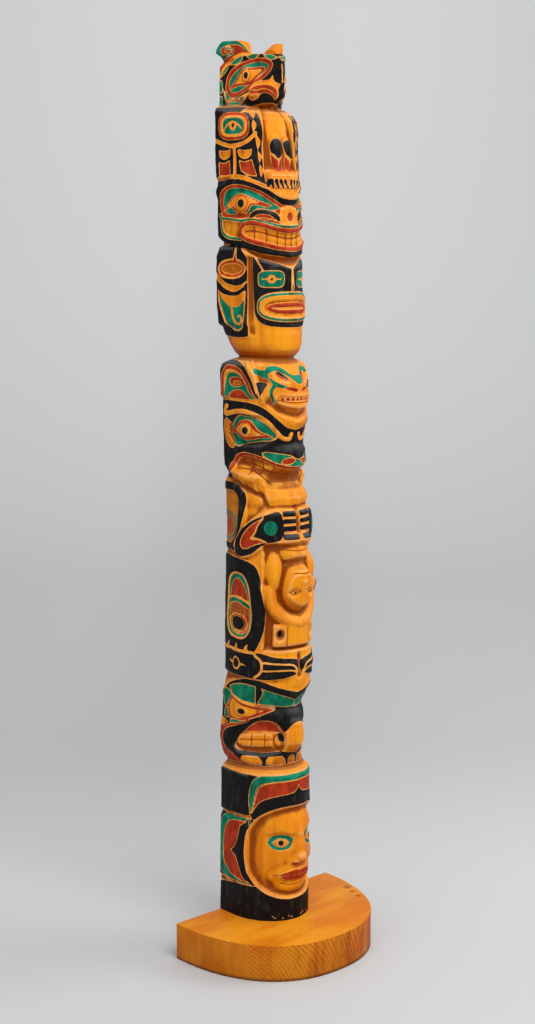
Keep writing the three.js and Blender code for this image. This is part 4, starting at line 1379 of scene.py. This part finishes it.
# %% Node helpers
def feed(tree, socket, value):
    """Links a socket to another one, or sets it to a plain value."""
    if isinstance(value, bpy.types.NodeSocket):
        tree.links.new(value, socket)
    else:
        socket.default_value = value


def calc(tree, operation, first, second=0.0):
    """One step of arithmetic."""
    node = tree.nodes.new("ShaderNodeMath")
    node.operation = operation
    feed(tree, node.inputs[0], first)
    feed(tree, node.inputs[1], second)
    return node.outputs[0]


def between_levels(tree, value, low, high, to_low=0.0, to_high=1.0):
    """Turns a value that runs from low to high into a soft step."""
    node = tree.nodes.new("ShaderNodeMapRange")
    node.interpolation_type = "SMOOTHSTEP"
    feed(tree, node.inputs["Value"], value)
    for name, number in zip(("From Min", "From Max", "To Min", "To Max"), (low, high, to_low, to_high)):
        node.inputs[name].default_value = number
    return node.outputs["Result"]


def blend(tree, share, first, second):
    """Mixes two colours."""
    node = tree.nodes.new("ShaderNodeMix")
    node.data_type = "RGBA"
    feed(tree, node.inputs["Factor"], share)
    feed(tree, node.inputs["A"], first)
    feed(tree, node.inputs["B"], second)
    return node.outputs["Result"]


def noise(tree, spot, stretch, detail=3.0, roughness=0.5):
    """Noise on the object, stretched along each axis; the stretch counts waves in a metre."""
    mapping = tree.nodes.new("ShaderNodeMapping")
    feed(tree, mapping.inputs["Vector"], spot)
    mapping.inputs["Scale"].default_value = stretch
    node = tree.nodes.new("ShaderNodeTexNoise")
    feed(tree, node.inputs["Vector"], mapping.outputs["Vector"])
    node.inputs["Scale"].default_value = 1
    node.inputs["Detail"].default_value = detail
    node.inputs["Roughness"].default_value = roughness
    return node.outputs["Fac"]


def attribute(tree, name):
    """A value that the mesh keeps."""
    node = tree.nodes.new("ShaderNodeAttribute")
    node.attribute_name = name
    return node.outputs["Fac"]


def new_finish(name):
    """A material with its shader and the spot on the object that its patterns read."""
    material = bpy.data.materials.new(name)
    material.use_nodes = True
    tree = material.node_tree
    shader = tree.nodes["Principled BSDF"]
    spot = tree.nodes.new("ShaderNodeTexCoord").outputs["Object"]
    return material, tree, shader, spot


def bump(tree, shader, value, strength, distance):
    """Makes the light fall as if the value were a fine relief."""
    node = tree.nodes.new("ShaderNodeBump")
    node.inputs["Strength"].default_value = strength
    node.inputs["Distance"].default_value = distance
    feed(tree, node.inputs["Height"], value)
    tree.links.new(node.outputs["Normal"], shader.inputs["Normal"])


def put_on(piece, material):
    piece.data.materials.clear()
    piece.data.materials.append(material)


print("node helpers ready")

# %% [markdown]
# Painted cedar. The bare wood is honey orange under varnish, with fine upright fibres, and broader
# streaks that are more yellow or more brown. In the hollows it is darker, partly where varnish pools
# and partly as painted shade; on undersides it gets a painted shade, where it faces up a painted light,
# and on ridges it is pale, partly worn and partly a painted highlight. The paint is laid over it where
# the drawing says so: black with a brushed look and a painted grey sheen where it faces up, a deep
# green and a brick red, each shown in its lighter shade partly by brush mottle and partly as painted
# light where it faces up, all thin enough that a little grain shows in them.

# %% Painted cedar
HONEY = (0.74, 0.225, 0.006, 1)
AMBER = (0.52, 0.115, 0.002, 1)
YELLOW = (0.78, 0.29, 0.008, 1)
# Dark of the varnish in the knife cuts; in the hollows, pooled varnish together with painted shade
STAIN_AND_SHADE = (0.20, 0.030, 0.001, 1)
# Painted shade on surfaces that face down
UNDERSIDE_SHADE = (0.36, 0.066, 0.001, 1)
# Pale of worn and scraped wood, and on ridges also a painted highlight
WORN_AND_HIGHLIGHT = (0.86, 0.46, 0.17, 1)
# Painted light on surfaces that face up
TOP_LIT = (0.74, 0.30, 0.075, 1)
# Each paint has a deep and a light shade. The light one shows partly by brush mottle and partly as a
# painted light where the surface faces up
BLACK_PAINT = (0.005, 0.004, 0.0037, 1)
BRUSHED_AND_TOP_LIT_BLACK = (0.034, 0.032, 0.031, 1)
# A painted grey sheen on black where it faces up
SHEEN_BLACK = (0.085, 0.085, 0.088, 1)
GREEN_PAINT = (0.004, 0.215, 0.115, 1)
DEEP_GREEN = (0.0, 0.095, 0.048, 1)
RED_PAINT = (0.44, 0.038, 0.006, 1)
DEEP_RED = (0.25, 0.018, 0.004, 1)
# Paint shows this far inside its outline, in millimetres, and fades over the feather
EDGE = 0.25
FEATHER = 0.22
# Pooled varnish and painted shade in the hollows, painted light where the surface faces up, painted
# shade where it faces down, and wear with a painted highlight on ridges: a value, from where to
# where it counts, share, colour
CARVED_SHADE_LIGHT_AND_WEAR = (("hollow", 0.15, 2.4, 0.9, STAIN_AND_SHADE), ("tilt", 0.3, 1.3, 0.32, TOP_LIT),
                ("tilt", -0.15, -0.95, 0.75, UNDERSIDE_SHADE), ("ridge", 0.15, 0.6, 0.4, WORN_AND_HIGHLIGHT))
# Radians in a millimetre, which gives a cut every five millimetres
HATCH_WAVES = 1.25
WEAR = 0.65
BLACK_EVEN = 0.16


def bare_cedar(tree, spot, fibres):
    """The wood's own colours, with pooled varnish and painted shade in the hollows, painted light and
    shade by how the surface leans, and wear with a painted highlight on ridges.
    """
    streaks = noise(tree, spot, (70, 70, 3.5), 2)
    patches = noise(tree, spot, (14, 14, 9), 2)
    colour = blend(tree, between_levels(tree, patches, 0.35, 0.65), HONEY, YELLOW)
    colour = blend(tree, between_levels(tree, streaks, 0.42, 0.75, 0, 0.55), colour, AMBER)
    colour = blend(tree, between_levels(tree, fibres, 0.45, 0.75, 0, 0.35), colour, AMBER)
    for name, low, high, share, tone in CARVED_SHADE_LIGHT_AND_WEAR:
        colour = blend(tree, between_levels(tree, attribute(tree, name), low, high, 0, share), colour,
                       tone)
    return colour


def scraped_rims(tree, colour, brush):
    """Just outside any paint, the bare wood looks scraped and pale."""
    nearest = calc(tree, "MAXIMUM", attribute(tree, "paint_green"), attribute(tree, "paint_red"))
    nearest = calc(tree, "MAXIMUM", attribute(tree, "paint_black"), nearest)
    patchy = between_levels(tree, brush, 0.35, 0.65, 0.1, 0.5)
    scraped = calc(tree, "MULTIPLY", between_levels(tree, nearest, -1.0, -0.3), patchy)
    return blend(tree, scraped, colour, WORN_AND_HIGHLIGHT)


def hatching_cuts(tree):
    """Where the crossed cuts of the hatched fields are."""
    hatched = between_levels(tree, attribute(tree, "hatching"), 0.0, 0.6)
    across = calc(tree, "ABSOLUTE", attribute(tree, "girth"))
    cuts = 0.0
    for turn in (-1, 1):
        slope = calc(tree, "ADD", across, calc(tree, "MULTIPLY", attribute(tree, "level"), turn))
        wave = calc(tree, "SINE", calc(tree, "MULTIPLY", slope, HATCH_WAVES))
        one_way = calc(tree, "MULTIPLY", hatched, between_levels(tree, wave, 0.35, 0.8))
        cuts = calc(tree, "MAXIMUM", cuts, one_way)
    return cuts


def knife_lines(tree):
    """Where the single cuts of the knife are."""
    near_line = between_levels(tree, attribute(tree, "line_near"), 1.6, 1.2)
    side = calc(tree, "ABSOLUTE", attribute(tree, "line_side"))
    return calc(tree, "MULTIPLY", near_line, between_levels(tree, side, 1.3, 0.6))


def three_coats(tree, spot, colour, rough, brush, uncut):
    """Lays the paints on, lighter as painted light where they face up and with a painted sheen on
    black, and tells the colour, the roughness and where there is any paint.
    """
    worn = calc(tree, "SUBTRACT", noise(tree, spot, (520, 520, 420), 2), 0.5)
    wear = calc(tree, "MULTIPLY", worn, WEAR)
    tilt_here = attribute(tree, "tilt")
    # Brush mottle plus a painted light where the surface faces up picks the lighter shade of each paint
    brush_and_top_light = calc(tree, "ADD", brush, between_levels(tree, tilt_here, 0.05, 0.9, 0, 0.35))
    even_brush_and_top_light = calc(tree, "SUBTRACT", brush_and_top_light, BLACK_EVEN)
    painted = 0.0
    for coat, dark, light, brush_and_light_here in ((BLACK, BLACK_PAINT, BRUSHED_AND_TOP_LIT_BLACK, even_brush_and_top_light),
                                          (GREEN, DEEP_GREEN, GREEN_PAINT, brush_and_top_light),
                                          (RED, DEEP_RED, RED_PAINT, brush_and_top_light)):
        within = calc(tree, "ADD", attribute(tree, "paint_" + coat), wear)
        mask = calc(tree, "MULTIPLY", between_levels(tree, within, EDGE - FEATHER, EDGE + FEATHER),
                    uncut)
        shade = blend(tree, between_levels(tree, brush_and_light_here, 0.35, 0.7), dark, light)
        colour = blend(tree, mask, colour, shade)
        rough = calc(tree, "ADD", rough, calc(tree, "MULTIPLY", mask, 0.08))
        painted = calc(tree, "ADD", painted, mask)
        if coat == BLACK:
            # A painted grey sheen on the black where it faces up
            sheen = calc(tree, "MULTIPLY", mask, between_levels(tree, tilt_here, 0.25, 1.0, 0, 0.65))
            colour = blend(tree, sheen, colour, SHEEN_BLACK)
    return colour, rough, painted


def painted_cedar():
    material, tree, shader, spot = new_finish("painted cedar")
    fibres = noise(tree, spot, (420, 420, 14), 3)
    brush = noise(tree, spot, (120, 120, 55), 3, 0.6)
    colour = scraped_rims(tree, bare_cedar(tree, spot, fibres), brush)
    cuts = hatching_cuts(tree)
    colour = blend(tree, calc(tree, "MULTIPLY", cuts, 0.7), colour, STAIN_AND_SHADE)
    colour = blend(tree, knife_lines(tree), colour, STAIN_AND_SHADE)
    rough = calc(tree, "ADD", 0.33, calc(tree, "MULTIPLY", fibres, 0.16))
    uncut = calc(tree, "SUBTRACT", 1.0, cuts)
    colour, rough, painted = three_coats(tree, spot, colour, rough, brush, uncut)
    feed(tree, shader.inputs["Base Color"], colour)
    feed(tree, shader.inputs["Roughness"], rough)
    shader.inputs["Specular IOR Level"].default_value = 0.1
    relief = calc(tree, "ADD", calc(tree, "MULTIPLY", fibres, 0.35),
                  calc(tree, "MULTIPLY", painted, 0.5))
    bump(tree, shader, relief, 0.5, 0.0006)
    return material


put_on(pole, painted_cedar())
print("painted cedar on", pole.name)

# %% [markdown]
# The board is a softer wood with wide growth rings. Its round front shows them as dark lines that
# stand more and more upright to the right, and its top as faint streaks. So the rings are counted
# along the turn of the rim, plus a share of the height that grows smaller to the right. Dark
# flames and fine fibres break them up, and three dark spots near the right end are a knot and
# worn marks.

# %% Varnished board
BOARD_LIGHT = (0.74, 0.27, 0.012, 1)
BOARD_MID = (0.62, 0.165, 0.006, 1)
BOARD_DARK = (0.23, 0.027, 0.001, 1)
BOARD_FOOT_SHADOW = (0.06, 0.02, 0.006, 1)
BOARD_TOP = base_high.z
BOARD_BACK = base_high.y
RIM_REACH = 0.15
RINGS_IN_A_METRE = 195
RING_WAVER = 0.034
# Across, back and size of each dark spot, in metres
KNOTS = ((0.119, 0.024, 0.012), (0.108, -0.008, 0.010), (0.113, 0.008, 0.009))
# A painted shadow, where the board meets the floor, darkens its lowest millimetres from this height
# down
FOOT_SHADE = 0.006


def ring_place(tree, spot, turn, up):
    """How far along the rings a spot lies, in metres."""
    waver = calc(tree, "SUBTRACT", noise(tree, spot, (17, 17, 10), 4), 0.5)
    waver = calc(tree, "MULTIPLY", waver, RING_WAVER)
    lean = between_levels(tree, turn, -1.3, 0.5, 1.1, 0.12)
    along = calc(tree, "ADD", calc(tree, "MULTIPLY", turn, RIM_REACH), calc(tree, "MULTIPLY", up, lean))
    return calc(tree, "ADD", along, waver)


def dark_spots(tree, spot, fibres, colour):
    """The knot and the worn marks near the right end."""
    for x, y, size in KNOTS:
        reach = tree.nodes.new("ShaderNodeVectorMath")
        reach.operation = "DISTANCE"
        feed(tree, reach.inputs[0], spot)
        reach.inputs[1].default_value = (x, y, BOARD_TOP)
        ragged = calc(tree, "ADD", reach.outputs["Value"], calc(tree, "MULTIPLY", fibres, 0.006))
        colour = blend(tree, between_levels(tree, ragged, size, size * 0.4, 0, 0.75), colour,
                       BOARD_DARK)
    return colour


def varnished_board():
    material, tree, shader, spot = new_finish("varnished board")
    place = tree.nodes.new("ShaderNodeSeparateXYZ")
    feed(tree, place.inputs[0], spot)
    up = place.outputs["Z"]
    back_off = calc(tree, "SUBTRACT", BOARD_BACK, place.outputs["Y"])
    turn = calc(tree, "ARCTAN2", place.outputs["X"], back_off)
    rings = calc(tree, "MULTIPLY", ring_place(tree, spot, turn, up), RINGS_IN_A_METRE * 2 * math.pi)
    late_wood = between_levels(tree, calc(tree, "SINE", rings), 0.1, 1.0)
    on_edge = between_levels(tree, up, BOARD_TOP - 0.0001, BOARD_TOP - 0.0009)
    fibres = noise(tree, spot, (60, 480, 480), 3)
    patches = noise(tree, spot, (9, 26, 14), 2)
    colour = blend(tree, between_levels(tree, patches, 0.35, 0.65), BOARD_LIGHT, BOARD_MID)
    flames = between_levels(tree, noise(tree, spot, (56, 56, 9), 4, 0.65), 0.42, 0.66, 0, 0.75)
    to_right = between_levels(tree, turn, -1.0, 0.1, 0.35, 1)
    flames = calc(tree, "MULTIPLY", calc(tree, "MULTIPLY", on_edge, to_right), flames)
    colour = blend(tree, flames, colour, BOARD_DARK)
    colour = blend(tree, between_levels(tree, fibres, 0.5, 0.8, 0, 0.35), colour, BOARD_DARK)
    faint = between_levels(tree, noise(tree, spot, (30, 30, 24), 3), 0.35, 0.65, 0.2, 0.62)
    strength = calc(tree, "ADD", 0.04, calc(tree, "MULTIPLY", on_edge, faint))
    colour = blend(tree, calc(tree, "MULTIPLY", late_wood, strength), colour, BOARD_DARK)
    colour = blend(tree, calc(tree, "MULTIPLY", on_edge, 0.28), colour, BOARD_DARK)
    colour = dark_spots(tree, spot, fibres, colour)
    # Painted shadow along the foot of the board, where it meets the floor
    foot_shadow = between_levels(tree, up, FOOT_SHADE, 0.001, 0, 0.75)
    colour = blend(tree, foot_shadow, colour, BOARD_FOOT_SHADOW)
    feed(tree, shader.inputs["Base Color"], colour)
    rough = calc(tree, "ADD", 0.36, calc(tree, "MULTIPLY", fibres, 0.15))
    feed(tree, shader.inputs["Roughness"], rough)
    shader.inputs["Specular IOR Level"].default_value = 0.08
    relief = calc(tree, "ADD", calc(tree, "MULTIPLY", late_wood, on_edge),
                  calc(tree, "MULTIPLY", fibres, 0.4))
    bump(tree, shader, relief, 0.35, 0.0006)
    return material


put_on(board, varnished_board())
print("varnish on", board.name)

# %% [markdown]
# The studio is one wide sheet of pale paper that runs back along the floor and curves up behind.
# It is a strip of faces: a plane whose far edge is pulled out step by step along the curve. Its
# grey is painted light and shade that changes softly from front to back, as when only a part of the
# paper is lit, with a painted shadow of the pole just behind it.

# %% Backdrop
SWEEP_FRONT = -6.0
SWEEP_TURN = 2.6
SWEEP_RADIUS = 2.2
SWEEP_TOP = 6.0
SWEEP_HALF = 7.0
# The paper is turned with the camera, in degrees
CAMERA_TURN = -41.7
# Painted light and shade on one pale paper: lit far back, dim in a band behind the pole, grey near its
# foot
LIT_PAPER = (0.72, 0.72, 0.715, 1)
DIM_PAPER = (0.43, 0.43, 0.43, 1)
SHADED_NEAR_PAPER = (0.55, 0.55, 0.55, 1)


def backdrop():
    bpy.ops.object.select_all(action="DESELECT")
    bpy.ops.mesh.primitive_plane_add(size=1)
    sheet = bpy.context.object
    sheet.name = "paper_sweep"
    rise = [math.radians(a) for a in range(0, 91, 6)]
    steps = [(SWEEP_TURN + SWEEP_RADIUS * math.sin(a), SWEEP_RADIUS * (1 - math.cos(a)))
             for a in rise]
    steps.append((steps[-1][0], SWEEP_TOP))
    corners = sorted(sheet.data.vertices, key=lambda v: (v.co.y, v.co.x))
    for vertex, (x, y) in zip(corners, ((-1, 0), (1, 0), (-1, 1), (1, 1))):
        vertex.co = (x * SWEEP_HALF, SWEEP_FRONT if y == 0 else steps[0][0], 0)
    bpy.ops.object.mode_set(mode="EDIT")
    bpy.ops.mesh.select_mode(type="EDGE")
    bpy.ops.mesh.select_all(action="DESELECT")
    bpy.ops.object.mode_set(mode="OBJECT")
    for edge in sheet.data.edges:
        edge.select = all(sheet.data.vertices[v].co.y == np.float32(steps[0][0]) for v in edge.vertices)
    bpy.ops.object.mode_set(mode="EDIT")
    for (y0, z0), (y1, z1) in zip(steps, steps[1:]):
        bpy.ops.mesh.extrude_region_move(TRANSFORM_OT_translate={"value": (0, y1 - y0, z1 - z0)})
    bpy.ops.object.mode_set(mode="OBJECT")
    bpy.ops.object.shade_smooth()
    bpy.ops.transform.rotate(value=math.radians(-CAMERA_TURN), orient_axis="Z",
                             center_override=(0, 0, 0))
    bpy.ops.object.transform_apply(location=True, rotation=True, scale=True)
    return sheet


def pale_paper():
    """Painted light and shade: grey near the pole's foot, dim with a painted shadow of the pole just
    behind it, and bright further back and up the rise.
    """
    material, tree, shader, spot = new_finish("pale paper")
    place = tree.nodes.new("ShaderNodeSeparateXYZ")
    feed(tree, place.inputs[0], spot)
    view = math.radians(-CAMERA_TURN)

    def along(x_share, y_share):
        """How far a spot of the paper lies along a level direction."""
        return calc(tree, "ADD", calc(tree, "MULTIPLY", place.outputs["X"], x_share),
                    calc(tree, "MULTIPLY", place.outputs["Y"], y_share))

    behind = along(math.sin(view), math.cos(view))
    aside = calc(tree, "ADD", along(math.cos(view), -math.sin(view)), 0.12)
    dim = calc(tree, "MULTIPLY", between_levels(tree, behind, 0.2, 1.0),
               between_levels(tree, behind, 7.5, 1.6))
    # A painted shadow of the pole, strongest right behind it, deepens the dim band
    pole_shadow = between_levels(tree, calc(tree, "ABSOLUTE", aside), 0.45, 0.05, 0.70, 1)
    colour = blend(tree, between_levels(tree, behind, 4.5, 0.8), LIT_PAPER, SHADED_NEAR_PAPER)
    colour = blend(tree, calc(tree, "MULTIPLY", dim, pole_shadow), colour, DIM_PAPER)
    feed(tree, shader.inputs["Base Color"], colour)
    shader.inputs["Roughness"].default_value = 0.9
    return material


sweep = backdrop()
put_on(sweep, pale_paper())
print("paper sweep of", len(sweep.data.polygons), "faces")

# %% [markdown]
# The light is soft, as in a picture studio: a wide lamp high in front, a weaker one low at the
# left to lift the shadows, one from the right for the sheen, one that washes the paper, and an
# even pale surround. The camera stands to the front left at the height of the pole's upper half,
# and looks a little down.

# %% Lights and camera
def soft_lamp(name, place, target, size, power):
    """A square lamp that points at a target."""
    bpy.ops.object.light_add(type="AREA", location=place)
    lamp = bpy.context.object
    lamp.name = name
    lamp.data.size = size
    lamp.data.energy = power
    toward = [b - a for a, b in zip(place, target)]
    flat = math.hypot(toward[0], toward[1])
    up = math.pi / 2 + math.atan2(toward[2], flat)
    lamp.rotation_euler = (up, 0, math.atan2(-toward[0], toward[1]))


MIDDLE = (0, 0, 0.6)
# Each lamp's name, where it is, where it points, its size in metres and its power in watts
LAMPS = (
    ("high_front", (-0.4, -1.6, 2.5), MIDDLE, 1.5, 46),
    ("right_sheen", (1.9, -1.2, 1.7), MIDDLE, 1.2, 26),
    ("left_fill", (-2.4, -0.6, 1.0), MIDDLE, 1.6, 14),
    ("paper_wash", (1.2, 1.3, 3.6), (3.2, 3.6, 1.6), 2.0, 60),
)
for lamp in LAMPS:
    soft_lamp(*lamp)

SURROUND = (0.9, 0.92, 0.95, 1)
SURROUND_STRENGTH = 0.55
world = bpy.data.worlds.new("surround")
bpy.context.scene.world = world
world.use_nodes = True
background = world.node_tree.nodes["Background"]
background.inputs["Color"].default_value = SURROUND
background.inputs["Strength"].default_value = SURROUND_STRENGTH

CAMERA_AT = (-1.3362, -1.4439, 0.8756)
CAMERA_DOWN = 8.4
LENS = 55.1
SENSOR_WIDTH = 36
look = (math.radians(90 - CAMERA_DOWN), 0, math.radians(CAMERA_TURN))
bpy.ops.object.camera_add(location=CAMERA_AT, rotation=look)
camera = bpy.context.object
camera.data.lens = LENS
camera.data.sensor_width = SENSOR_WIDTH
bpy.context.scene.camera = camera
# The standard view shows the paints as strong as they are set
bpy.context.scene.view_settings.view_transform = "Standard"
print("camera at", CAMERA_AT)
